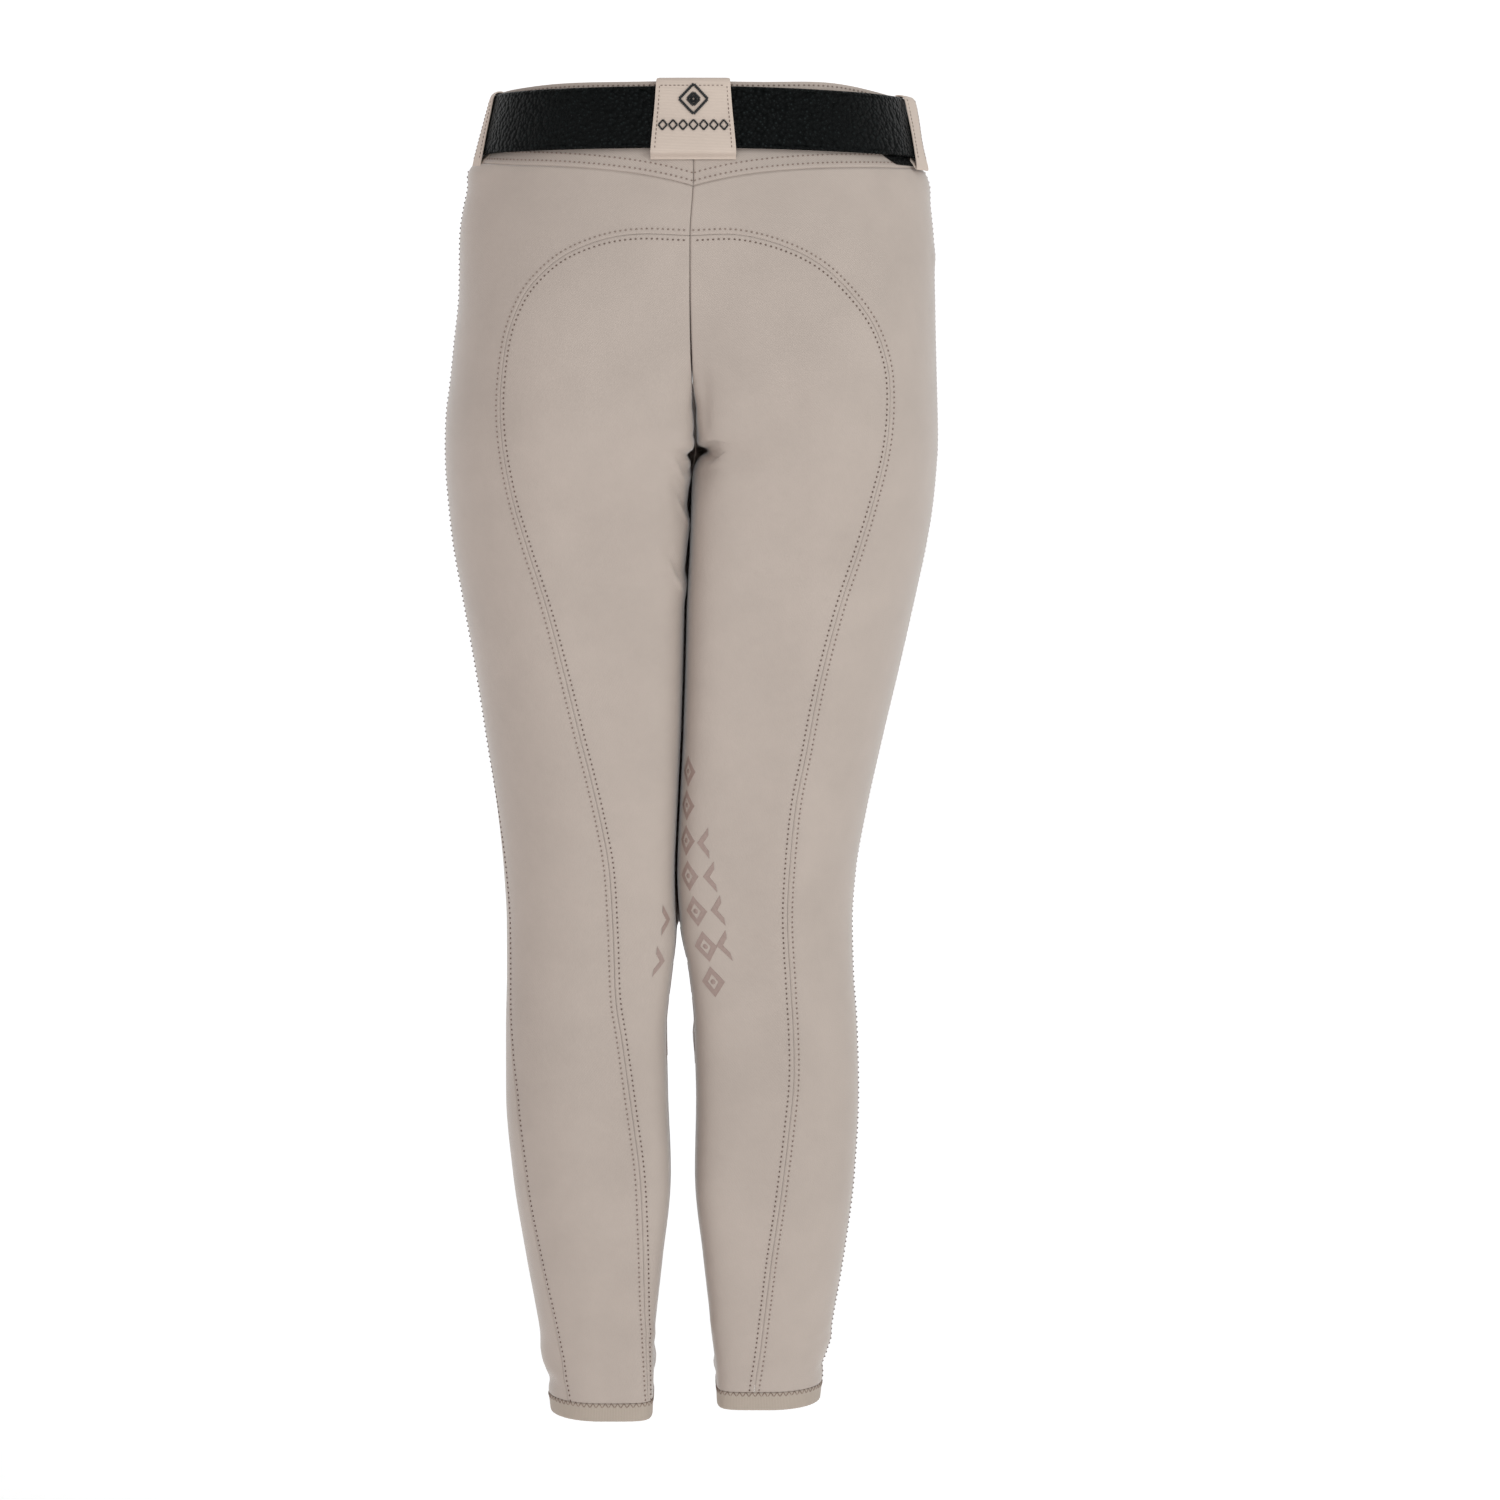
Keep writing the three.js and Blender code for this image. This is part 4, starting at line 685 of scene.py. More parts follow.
def all_folds():
    folds = list(FOLDS)
    for side, x, z, *shape in BACK_FOLDS:
        t = float(HALVES[side].t_of_x([x], [z])[0])
        folds.append((side, t, z, *shape))
    return folds


PLACED_FOLDS = all_folds()


def fold_height(half, t, z):
    total = half.total(z)
    height = np.zeros(np.shape(t))
    for side, fold_t, fold_z, angle, length, width, amount, bend in PLACED_FOLDS:
        if side != half.side:
            continue
        across = half.from_outermost(t, z) - half.from_outermost(fold_t, fold_z)
        if fold_z < CROTCH_Z:
            across = across - total * np.round(across / total)
        up = z - fold_z
        cos_a = math.cos(math.radians(angle))
        sin_a = math.sin(math.radians(angle))
        along = across * cos_a + up * sin_a
        aside = -across * sin_a + up * cos_a + bend * (along / length * 2) ** 2
        height = height + amount * np.exp(-(aside / width) ** 2) * np.exp(-(along / (length / 2)) ** 4)
    return height


def dressed(half, t, z, lift=0.0):
    """Points on the sewn and creased face, moved out by lift."""
    t, z = np.broadcast_arrays(np.asarray(t, float), np.asarray(z, float))
    shape = t.shape
    plain = half.point(t, z).reshape(-1, 3)
    normal = half.normal(t, z).reshape(-1, 3)
    height = fold_height(half, t, z).reshape(-1) + lift
    for line in LINES[half.side]:
        height = height + line.height(plain)
    return (plain + normal * height[:, None]).reshape(*shape, 3), normal.reshape(*shape, 3)


# Meshes
def add_mesh(name, vertices, faces, material, uv=None, smooth_angle=60):
    mesh = bpy.data.meshes.new(name)
    vertices = np.asarray(vertices, float) * MM
    mesh.from_pydata(vertices.tolist(), [], [list(map(int, face)) for face in faces])
    if uv is not None:
        layer = mesh.uv_layers.new(name="cloth_metres")
        corners = np.empty(len(mesh.loops), int)
        mesh.loops.foreach_get("vertex_index", corners)
        layer.data.foreach_set("uv", (np.asarray(uv)[corners] * MM).ravel())
    mesh.polygons.foreach_set("use_smooth", [True] * len(mesh.polygons))
    mesh.set_sharp_from_angle(angle=math.radians(smooth_angle))
    mesh.materials.append(material)
    mesh.update()
    obj = bpy.data.objects.new(name, mesh)
    bpy.context.scene.collection.objects.link(obj)
    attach(obj, "root")
    return obj


def grid_quads(ids):
    a = ids[:-1, :-1]
    b = ids[:-1, 1:]
    c = ids[1:, 1:]
    d = ids[1:, :-1]
    return np.stack([a, b, c, d], axis=-1).reshape(-1, 4)


def thin_shell(outer, inner, quads):
    """Closed wall from an outer and an inner layer with the same faces."""
    count = len(outer)
    edges = np.concatenate([quads[:, [0, 1]], quads[:, [1, 2]], quads[:, [2, 3]], quads[:, [3, 0]]])
    low_high = np.sort(edges, axis=1)
    key = low_high[:, 0].astype(np.int64) * count + low_high[:, 1]
    _, first, counts = np.unique(key, return_index=True, return_counts=True)
    rim = edges[first[counts == 1]]
    rim = rim[rim[:, 0] != rim[:, 1]]
    rim_quads = np.stack([rim[:, 1], rim[:, 0], rim[:, 0] + count, rim[:, 1] + count], axis=1)
    inner_quads = quads[:, ::-1] + count
    return np.concatenate([outer, inner]), np.concatenate([quads, inner_quads, rim_quads])


def joined_grids(grids):
    """One list of chart places for several grids that share edges, and their faces."""
    t = np.concatenate([g[0].ravel() for g in grids])
    z = np.concatenate([g[1].ravel() for g in grids])
    key = np.round(np.stack([t * 400, z], axis=1), 3)
    _, first, index = np.unique(key, axis=0, return_index=True, return_inverse=True)
    index = index.ravel()
    quads = []
    start = 0
    for grid_t, _ in grids:
        ids = index[start:start + grid_t.size].reshape(grid_t.shape)
        quads.append(grid_quads(ids))
        start += grid_t.size
    quads = np.concatenate(quads)
    whole = np.array([len(set(quad)) == 4 for quad in quads.tolist()])
    return t[first], z[first], quads[whole]


def cloth_piece(name, half, grids, material):
    t, z, quads = joined_grids(grids)
    outer, normal = dressed(half, t, z)
    inner = outer - normal * WALL
    if half.side == LEFT:
        quads = quads[:, ::-1]
    vertices, faces = thin_shell(outer, inner, quads)
    uv = np.stack([half.from_outermost(t, z), z], axis=1)
    return add_mesh(name, vertices, faces, material, np.concatenate([uv, uv]))


# Materials
def shader(name, base, roughness, **sockets):
    material = bpy.data.materials.new(name)
    material.use_nodes = True
    nodes = material.node_tree.nodes
    principled = nodes["Principled BSDF"]
    principled.inputs["Base Color"].default_value = (*base, 1)
    principled.inputs["Roughness"].default_value = roughness
    for key, value in sockets.items():
        principled.inputs[key.replace("_", " ")].default_value = value
    return material, principled


def node(material, kind, inputs=None, **settings):
    made = material.node_tree.nodes.new(kind)
    for key, value in settings.items():
        setattr(made, key, value)
    for key, value in (inputs or {}).items():
        made.inputs[key].default_value = value
    return made


def link(material, source, output, target, socket):
    material.node_tree.links.new(source.outputs[output], target.inputs[socket])


def colour_ramp(material, stops):
    ramp = node(material, "ShaderNodeValToRGB")
    elements = ramp.color_ramp.elements
    while len(elements) < len(stops):
        elements.new(0.5)
    for element, (position, colour) in zip(elements, stops):
        element.position = position
        element.color = (*colour, 1)
    return ramp


def linear(colour):
    """Linear values of an sRGB colour in 0 to 255."""
    return tuple(((c / 255 + 0.055) / 1.055) ** 2.4 if c > 10 else c / 255 / 12.92 for c in colour)


def shade(colour, amount):
    return tuple(min(1, c * amount) for c in colour)


def cloth_material(name, colour, pitch, relief, sheen, rib_angle=1.1):
    """Fine diagonal weave, a soft nap and slow changes of tone."""
    base = linear(colour)
    material, principled = shader(name, base, 0.9, Sheen_Weight=sheen, Sheen_Roughness=0.3)
    principled.inputs["Specular IOR Level"].default_value = 0.25
    place = node(material, "ShaderNodeTexCoord")
    turned = node(material, "ShaderNodeMapping")
    turned.inputs["Rotation"].default_value = (0, 0, rib_angle)
    weave = node(material, "ShaderNodeTexWave",
                 {"Scale": 0.314 / (pitch * MM), "Distortion": 0.6, "Detail": 1.0})
    nap = node(material, "ShaderNodeTexNoise", {"Scale": 900.0, "Detail": 3.0, "Roughness": 0.6})
    slow = node(material, "ShaderNodeTexNoise", {"Scale": 14.0, "Detail": 7.0, "Roughness": 0.66})
    tone = colour_ramp(material, [(0.3, shade(base, 0.945)), (0.7, shade(base, 1.05))])
    weave_tone = colour_ramp(material, [(0.0, (0.92, 0.92, 0.92)), (1.0, (1.04, 1.04, 1.04))])
    product = node(material, "ShaderNodeMix", data_type="RGBA", blend_type="MULTIPLY")
    product.inputs["Factor"].default_value = 1.0
    height = node(material, "ShaderNodeMath", operation="MULTIPLY_ADD")
    height.inputs[1].default_value = 0.55
    bump = node(material, "ShaderNodeBump", {"Strength": relief, "Distance": 0.00025})
    link(material, place, "UV", turned, "Vector")
    link(material, turned, "Vector", weave, "Vector")
    link(material, place, "UV", nap, "Vector")
    link(material, place, "Object", slow, "Vector")
    link(material, slow, "Fac", tone, "Fac")
    link(material, weave, "Fac", weave_tone, "Fac")
    link(material, tone, "Color", product, 6)
    link(material, weave_tone, "Color", product, 7)
    link(material, product, 2, principled, "Base Color")
    link(material, weave, "Fac", height, 0)
    link(material, nap, "Fac", height, 2)
    link(material, height, 0, bump, "Height")
    link(material, bump, "Normal", principled, "Normal")
    return material


def leather_material(name, colour, roughness, cell, relief):
    base = linear(colour)
    material, principled = shader(name, base, roughness)
    principled.inputs["Specular IOR Level"].default_value = 0.07
    place = node(material, "ShaderNodeTexCoord")
    pebble = node(material, "ShaderNodeTexVoronoi", {"Scale": 1 / (cell * MM), "Randomness": 1.0})
    pebble.feature = "F1"
    fine = node(material, "ShaderNodeTexNoise", {"Scale": 1500.0, "Detail": 2.0})
    fine_share = node(material, "ShaderNodeMath", operation="MULTIPLY")
    fine_share.inputs[1].default_value = 0.07
    warp = node(material, "ShaderNodeTexNoise", {"Scale": 260.0, "Detail": 2.0})
    dome = node(material, "ShaderNodeMath", operation="MULTIPLY")
    height = node(material, "ShaderNodeMath", operation="MULTIPLY_ADD")
    height.inputs[1].default_value = -1.0
    tone = colour_ramp(material, [(0.3, shade(base, 0.8)), (0.75, shade(base, 1.35))])
    # Painted glints: the tops of the pebbles are painted up to six times lighter, as highlights of the light
    painted_glint_tops = colour_ramp(material, [(0.0, (6.0, 6.0, 6.0)), (0.07, (1.0, 1.0, 1.0))])
    # Random tone of the leather times the painted glints on the pebble tops
    tone_and_painted_glints = node(material, "ShaderNodeMix", data_type="RGBA", blend_type="MULTIPLY")
    tone_and_painted_glints.inputs["Factor"].default_value = 1.0
    bump = node(material, "ShaderNodeBump", {"Strength": relief, "Distance": 0.0022})
    link(material, place, "Object", pebble, "Vector")
    link(material, place, "Object", fine, "Vector")
    link(material, place, "Object", warp, "Vector")
    link(material, pebble, "Distance", dome, 0)
    link(material, pebble, "Distance", dome, 1)
    link(material, dome, 0, height, 0)
    link(material, fine, "Fac", fine_share, 0)
    link(material, fine_share, 0, height, 2)
    link(material, height, 0, bump, "Height")
    link(material, warp, "Fac", tone, "Fac")
    link(material, dome, 0, painted_glint_tops, "Fac")
    link(material, tone, "Color", tone_and_painted_glints, 6)
    link(material, painted_glint_tops, "Color", tone_and_painted_glints, 7)
    link(material, tone_and_painted_glints, 2, principled, "Base Color")
    link(material, bump, "Normal", principled, "Normal")
    return material


def grained_material(name, colour, roughness, grain, tones, relief, depth, **sockets):
    """Plain material with a fine grain in its tone and its surface."""
    base = linear(colour)
    material, principled = shader(name, base, roughness, **sockets)
    place = node(material, "ShaderNodeTexCoord")
    noise = node(material, "ShaderNodeTexNoise", {"Scale": grain, "Detail": 2.0})
    tone = colour_ramp(material, [(0.3, shade(base, tones[0])), (0.7, shade(base, tones[1]))])
    bump = node(material, "ShaderNodeBump", {"Strength": relief, "Distance": depth})
    link(material, place, "Object", noise, "Vector")
    link(material, noise, "Fac", tone, "Fac")
    link(material, noise, "Fac", bump, "Height")
    link(material, tone, "Color", principled, "Base Color")
    link(material, bump, "Normal", principled, "Normal")
    return material


def thread_material(name, colour):
    return grained_material(name, colour, 0.7, 1400.0, (0.8, 1.15), 0.4, 0.0001, Sheen_Weight=0.2)


def steel_material():
    material, principled = shader("satin_steel", (0.62, 0.63, 0.65), 0.28, Metallic=1.0)
    place = node(material, "ShaderNodeTexCoord")
    brushed = node(material, "ShaderNodeTexNoise", {"Scale": 900.0, "Detail": 3.0})
    spread_rough = node(material, "ShaderNodeMapRange", {"To Min": 0.22, "To Max": 0.4})
    link(material, place, "Object", brushed, "Vector")
    link(material, brushed, "Fac", spread_rough, "Value")
    link(material, spread_rough, "Result", principled, "Roughness")
    return material


CLOTH = cloth_material("stretch_twill", (181, 167, 158), 0.85, 0.55, 0.7)
LOOP_CLOTH = cloth_material("loop_twill", (202, 185, 173), 0.9, 0.6, 0.15)
HEM_CLOTH = cloth_material("hem_jersey", (174, 160, 148), 1.1, 0.7, 0.15, rib_angle=0.0)
LEATHER = leather_material("pebbled_leather", (5, 7, 7), 0.36, 3.0, 1.0)
BACKING_LEATHER = leather_material("backing_leather", (11, 12, 12), 0.45, 2.4, 0.6)
THREAD = thread_material("sewing_thread", (102, 80, 70))
PALE_THREAD = thread_material("pale_thread", (134, 114, 104))
HEM_THREAD = thread_material("hem_thread", (124, 102, 90))
EMBROIDERY = thread_material("embroidery_thread", (17, 19, 21))
STEEL = steel_material()
GRIP = grained_material("silicone_grip", (150, 128, 120), 0.38, 700.0, (0.93, 1.06), 0.3, 0.0002,
                        Coat_Weight=0.2, Coat_Roughness=0.3)

# Panels, waistband and ankle bands
FRONT_STRETCHES = ("calf", "thigh", "hip")
PANEL_GRIDS = {"seat": seat_grid, "back": back_grid, "front": front_grid, "waistband": waistband_grid}
HEM_COLUMNS = 150


def grid_area(half, grids):
    area = 0.0
    for t, z in grids:
        p = half.point(t, z)
        a = p[:-1, 1:] - p[:-1, :-1]
        b = p[1:, :-1] - p[:-1, :-1]
        area += float(np.sum(np.linalg.norm(np.cross(a, b), axis=-1)))
    return area / 1e6


def grid_width(half, grids):
    widths = []
    for t, z in grids:
        widths.append(float(np.max((t.max(axis=1) - t.min(axis=1)) * half.total(z.mean(axis=1)))))
    return max(widths) / 1000


def declare_cut(half, grids):
    """Works out the area of the cut and the room that the cut piece takes across, as its flat width, and
    keeps neither.
    """
    area = grid_area(half, grids)
    width = grid_width(half, grids)


panels = []
for side, half in HALVES.items():
    for part, make_grid in PANEL_GRIDS.items():
        name = f"{part}_{SIDE_NAME[side]}"
        grids = make_grid(half)
        panel = cloth_piece(f"cloth_{name}", half, grids, CLOTH)
        solids = [f"{name}_{stretch}" for stretch in FRONT_STRETCHES] if part == "front" else [name]
        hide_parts(*solids)
        rests_on = ["belt"] if part == "waistband" else [f"cloth_waistband_{SIDE_NAME[side]}"]
        panels.append((panel, half, grids, rests_on))


def hem_band(half):
    """Ankle band: a closed tube of doubled jersey with a soft lower edge."""
    bottom = HEM_BOTTOM[SIDE_NAME[half.side]]
    top = hem_join_z(half.side) - SEAM_GAP / 2
    around = np.linspace(0, 1, HEM_COLUMNS, endpoint=False)
    rows = spread(top - bottom, cell=1.2)
    t, z = np.meshgrid(around, bottom + rows)
    face, normal = dressed(half, t, z)
    edge = np.minimum(1.0, (z - bottom) / 1.6)
    face = face - normal * (0.7 * (1 - np.sqrt(1 - (1 - edge) ** 2)))[..., None]
    ribs = 0.12 * np.sin(np.arange(HEM_COLUMNS) * 2 * np.pi / 3)
    face = face + normal * (0.25 + ribs[None, :, None])
    inner = face - normal * (WALL + 0.3)
    rings = np.concatenate([face, inner[::-1]])
    ids = np.arange(rings.shape[0] * rings.shape[1]).reshape(rings.shape[:2])
    ids = np.concatenate([ids, ids[:, :1]], axis=1)
    ids = np.concatenate([ids, ids[:1]], axis=0)
    quads = grid_quads(ids)
    if half.side == LEFT:
        quads = quads[:, ::-1]
    lengths = np.concatenate([z, z[::-1]])
    uv = np.stack([np.concatenate([t, t]) * half.total(bottom), lengths], axis=-1).reshape(-1, 2)
    band = add_mesh(f"hem_band_{SIDE_NAME[half.side]}", rings.reshape(-1, 3), quads, HEM_CLOTH, uv)
    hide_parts(f"hem_{SIDE_NAME[half.side]}")
    return band, half.total(bottom) / 1000


for side, half in HALVES.items():
    band, girth = hem_band(half)
for panel, half, grids, rests_on in panels:
    declare_cut(half, grids)

# Stitches
STITCH_LENGTH = 1.6
STITCH_PITCH = 3.6
STITCH_WIDTH = 1.1
HEM_STITCH = {"pitch": 4.4, "low": -3.0, "high": 0.5, "width": 0.65}
PALE_ROWS = ("seat_outer_row", "waist_row", "waist_second_row", "waist_top_row")


def unit(vectors):
    return vectors / np.maximum(np.linalg.norm(vectors, axis=-1, keepdims=True), 1e-9)


def spindles(name, starts, ends, normals, width, material):
    """Small rounded stitches, each from its start to its end, sunk at both ends."""
    ring = 5
    shares = (0.0, 0.18, 0.5, 0.82, 1.0)
    girths = (0.25, 0.85, 1.0, 0.85, 0.25)
    rises = (-0.35, 0.1, 0.3, 0.1, -0.35)
    along = unit(ends - starts)
    aside = unit(np.cross(normals, along))
    width = np.broadcast_to(width, len(starts))[:, None]
    vertices = []
    for share, girth, rise in zip(shares, girths, rises):
        centre = mix(starts, ends, share) + normals * rise * width
        for k in range(ring):
            a = 2 * np.pi * k / ring
            offset = aside * math.cos(a) + normals * math.sin(a)
            vertices.append(centre + offset * girth * width / 2)
    vertices = np.stack(vertices, axis=1)
    count, each = vertices.shape[:2]
    faces = []
    for j in range(len(shares) - 1):
        for k in range(ring):
            n = (k + 1) % ring
            faces.append([j * ring + k, j * ring + n, (j + 1) * ring + n, (j + 1) * ring + k])
    faces = np.array(faces)
    every = (faces[None] + (np.arange(count) * each)[:, None, None]).reshape(-1, 4)
    obj = add_mesh(name, vertices.reshape(-1, 3), every, material, smooth_angle=180)
    return obj


def stitch_ends(points, normals, pitch, length):
    """Ends of the stitches along a line of points, a little uneven."""
    lengths = np.concatenate([[0], np.cumsum(np.linalg.norm(np.diff(points, axis=0), axis=1))])
    starts = np.arange(0.4, lengths[-1] - length, pitch)
    starts = starts + random.uniform(-0.12, 0.12, len(starts))

    def at(values, place):
        return np.stack([np.interp(place, lengths, values[:, k]) for k in range(3)], axis=1)

    return at(points, starts), at(points, starts + length), unit(at(normals, starts + length / 2))


def topstitches(name, rows, material):
    parts = []
    for half, t, z in rows:
        points, normals = dressed(half, t, z, lift=0.12)
        parts.append(stitch_ends(points, normals, STITCH_PITCH, STITCH_LENGTH))
    spindles(name, *(np.concatenate(part) for part in zip(*parts)), STITCH_WIDTH, material)


topstitches("topstitches", [row for name, *row in STITCH_ROWS if name not in PALE_ROWS], THREAD)
topstitches("pale_topstitches", [row for name, *row in STITCH_ROWS if name in PALE_ROWS], PALE_THREAD)


def hem_stitches(half):
    """Zigzag cover stitch hanging from the join of the ankle band."""
    join = hem_join_z(half.side)
    count = int(half.total(join) / HEM_STITCH["pitch"])
    places = np.linspace(0.002, 0.998, 2 * count + 1)
    zig = join + np.where(np.arange(len(places)) % 2 == 0, HEM_STITCH["low"], HEM_STITCH["high"])
    points, normals = dressed(half, places, zig, lift=0.25)
    return points[:-1], points[1:], normals[:-1]


hem_parts = [hem_stitches(half) for half in HALVES.values()]
spindles("hem_cover_stitches", *(np.concatenate(part) for part in zip(*hem_parts)),
         HEM_STITCH["width"], HEM_THREAD)

# Belt path: distance from the centre front by the right side
BELT_RIGHT = float(HALVES[RIGHT].total(0.0))
BELT_LEFT = float(HALVES[LEFT].total(0.0))
BELT_ROUND = BELT_RIGHT + BELT_LEFT
CENTRE_BACK = BELT_RIGHT


def waist_place(distance):
    d = np.mod(distance, BELT_ROUND)
    on_right = d <= BELT_RIGHT
    return on_right, np.where(on_right, 1 - d / BELT_RIGHT, (d - BELT_RIGHT) / BELT_LEFT)


def waist_point(distance, z, offset):
    distance, z, offset = np.broadcast_arrays(*(np.asarray(v, float) for v in (distance, z, offset)))
    on_right, t = waist_place(distance)
    result = np.empty((*distance.shape, 3))
    for side, mask in ((RIGHT, on_right), (LEFT, ~on_right)):
        half = HALVES[side]
        normal = half.normal(t[mask], np.zeros(mask.sum()))
        normal[..., 2] = 0
        result[mask] = half.point(t[mask], z[mask]) + unit(normal) * offset[mask][..., None]
    return result


def belt_middle(distance):
    on_right, t = waist_place(np.asarray(distance, float))
    return np.where(on_right, around_waist(BELT_LINE, RIGHT, t), around_waist(BELT_LINE, LEFT, t))


def belt_point(distance, height, offset):
    middle = belt_middle(distance)
    top = waist_point(distance, middle + BELT_WIDTH / 2, offset)
    bottom = waist_point(distance, middle - BELT_WIDTH / 2, offset)
    return mix(bottom, top, np.asarray(0.5 + np.asarray(height) / BELT_WIDTH)[..., None])


def band_point(distance, z, offset):
    distance, z, offset = np.broadcast_arrays(*(np.asarray(v, float) for v in (distance, z, offset)))
    height = z - belt_middle(distance)
    on_belt = belt_point(distance, height, offset)
    on_cloth = waist_point(distance, z, offset)
    return np.where((np.abs(height) < BELT_WIDTH / 2)[..., None], on_belt, on_cloth)


BAR_AT = 8.0
FIXED_END = BAR_AT + 6
FREE_LAP = 118.0
RISE_START = -26.0
RISE_END = 4.0
OVER_BAR = 8.1
OVER_TAB_END = 44.0
LAP_SETTLE = 66.0
LAP_OFFSET = BELT_OFFSET + BELT_THICK + 0.4
STRAP_EDGE = 1.6


def belt_offset(distance):
    past = distance - BELT_ROUND
    rise = smooth((past - RISE_START) / (RISE_END - RISE_START))
    settle = smooth((past - OVER_TAB_END) / (LAP_SETTLE - OVER_TAB_END))
    return BELT_OFFSET + (OVER_BAR - BELT_OFFSET) * rise - (OVER_BAR - LAP_OFFSET) * settle


def strap_section(half_width, thick):
    """Outline of a strap with rounded edges and a creased line near each: height and depth."""
    flat = half_width - STRAP_EDGE

    def rounded(sign, first, last):
        angles = np.radians(np.linspace(first, last, 7))
        return [(sign * flat + STRAP_EDGE * math.cos(a), thick / 2 + thick / 2 * math.sin(a))
                for a in angles]

    grooves = [(flat - 0.6, 0), (flat - 1.2, 0.28), (flat - 1.8, 0), (0, 0),
               (-flat + 1.8, 0), (-flat + 1.2, 0.28), (-flat + 0.6, 0)]
    face = [(height, thick - dip) for height, dip in grooves]
    return np.array([*rounded(1, -90, 90), *face, *rounded(-1, 90, 270), (0, 0)])


def ring_skin(rings):
    """Faces over a row of rings of points, with flat ends."""
    count, size = rings.shape[:2]
    ids = np.arange(count * size).reshape(count, size)
    ids = np.concatenate([ids, ids[:, :1]], axis=1)
    quads = [list(map(int, quad)) for quad in grid_quads(ids)]
    quads.append([int(i) for i in ids[0, :size][::-1]])
    quads.append([int(i) for i in ids[-1, :size]])
    return quads


def outward(vertices, faces):
    """Turns the faces over where the skin is inside out."""
    volume = 0.0
    for face in faces:
        a = vertices[face[0]]
        for k in range(1, len(face) - 1):
            volume += float(np.dot(a, np.cross(vertices[face[k]], vertices[face[k + 1]])))
    return faces if volume > 0 else [face[::-1] for face in faces]


def belt_mesh():
    end = BELT_ROUND + FREE_LAP
    tip = BELT_WIDTH / 2
    straight = np.arange(FIXED_END, end - tip, 3.0)
    curved = end - tip + tip * np.sin(np.linspace(0, 1, 14) * np.pi / 2 * 0.985)
    stations = np.concatenate([straight, curved])
    rings = []
    for distance in stations:
        past = max(0.0, (distance - (end - tip)) / tip)
        half_width = max(2.4, BELT_WIDTH / 2 * math.sqrt(max(0.0, 1 - past * past)))
        section = strap_section(half_width, BELT_THICK)
        offset = belt_offset(distance) + section[:, 1]
        rings.append(belt_point(np.full(len(section), distance), section[:, 0], offset))
    rings = np.array(rings)
    vertices = rings.reshape(-1, 3)
    faces = outward(vertices, ring_skin(rings))
    return add_mesh("leather_belt", vertices, faces, LEATHER, smooth_angle=50)


belt = belt_mesh()
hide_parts("belt")


# Loops
def softened(path, each=5):
    """The same path with its corners rounded."""
    return through_points(path, (len(path) - 1) * each)


def ribbon(name, path, thickness, stations, place_at, material, edge_round=0.5):
    """Strip bent along a path of offsets and heights, swept across the waist."""
    path = softened(path)
    direction = unit(np.gradient(path, axis=0))
    side_way = np.stack([direction[:, 1], -direction[:, 0]], axis=1)
    outer_side = path + side_way * thickness / 2
    inner_side = path - side_way * thickness / 2
    outline = np.concatenate([outer_side, inner_side[::-1]])
    middle = np.concatenate([path, path[::-1]])
    rings = []
    for k, station in enumerate(stations):
        shrink = edge_round if k in (0, len(stations) - 1) else 1.0
        section = mix(middle, outline, shrink)
        rings.append(place_at(station, section[:, 1], section[:, 0]))
    rings = np.array(rings)
    count, size = rings.shape[:2]
    ids = np.arange(count * size).reshape(count, size)
    quads = [list(map(int, quad)) for quad in grid_quads(np.concatenate([ids, ids[:, :1]], axis=1))]
    half = size // 2
    for row, flip in ((ids[0], True), (ids[-1], False)):
        for i in range(half - 1):
            quad = [row[i], row[i + 1], row[size - 2 - i], row[size - 1 - i]]
            quads.append([int(q) for q in (quad[::-1] if flip else quad)])
    vertices = rings.reshape(-1, 3)
    stations = np.asarray(stations, float)
    along = np.concatenate([[0], np.cumsum(np.linalg.norm(np.diff(path, axis=0), axis=1))])
    lengths = np.concatenate([along, along[::-1]])
    uv = np.stack(np.meshgrid(lengths, stations)[::-1], axis=-1).reshape(-1, 2)
    return add_mesh(name, vertices, outward(vertices, quads), material, uv, smooth_angle=50)


LOOP_OUT = BELT_OFFSET + BELT_THICK + LOOP_CLEAR + LOOP_THICK / 2
LOOP_IN = LOOP_CLEAR + LOOP_THICK / 2
SIDE_LOOP_WIDTH = 20.0
SIDE_LOOP_BEHIND = {LEFT: 16.0, RIGHT: 18.0}
SIDE_LOOP_DROP = 8.0
SIDE_LOOP_LEAN = {LEFT: 5.0, RIGHT: 8.0}
SIDE_LOOP_SLACK = {LEFT: 0.0, RIGHT: 5.0}
BACK_LOOP_TOP = 51.0
BACK_LOOP_BOTTOM = 54.0
BACK_LOOP_LOW = -27.5
BACK_LOOP_TUCK = 12.0


def side_loop_point(side, middle, station, z, offset):
    """Place on a side loop, which leans and stands off the belt towards its top and its front edge."""
    outer_share = smooth((offset - LOOP_IN) / (LOOP_OUT - LOOP_IN))
    forward = (0.5 - side * (station - middle) / SIDE_LOOP_WIDTH) * outer_share
    slack = SIDE_LOOP_SLACK[side] * forward * smooth((z + 20) / 40)
    place = np.broadcast_to(station - side * SIDE_LOOP_LEAN[side] * z / 21, np.shape(z))
    return belt_point(place, z - belt_middle(place), offset + slack)


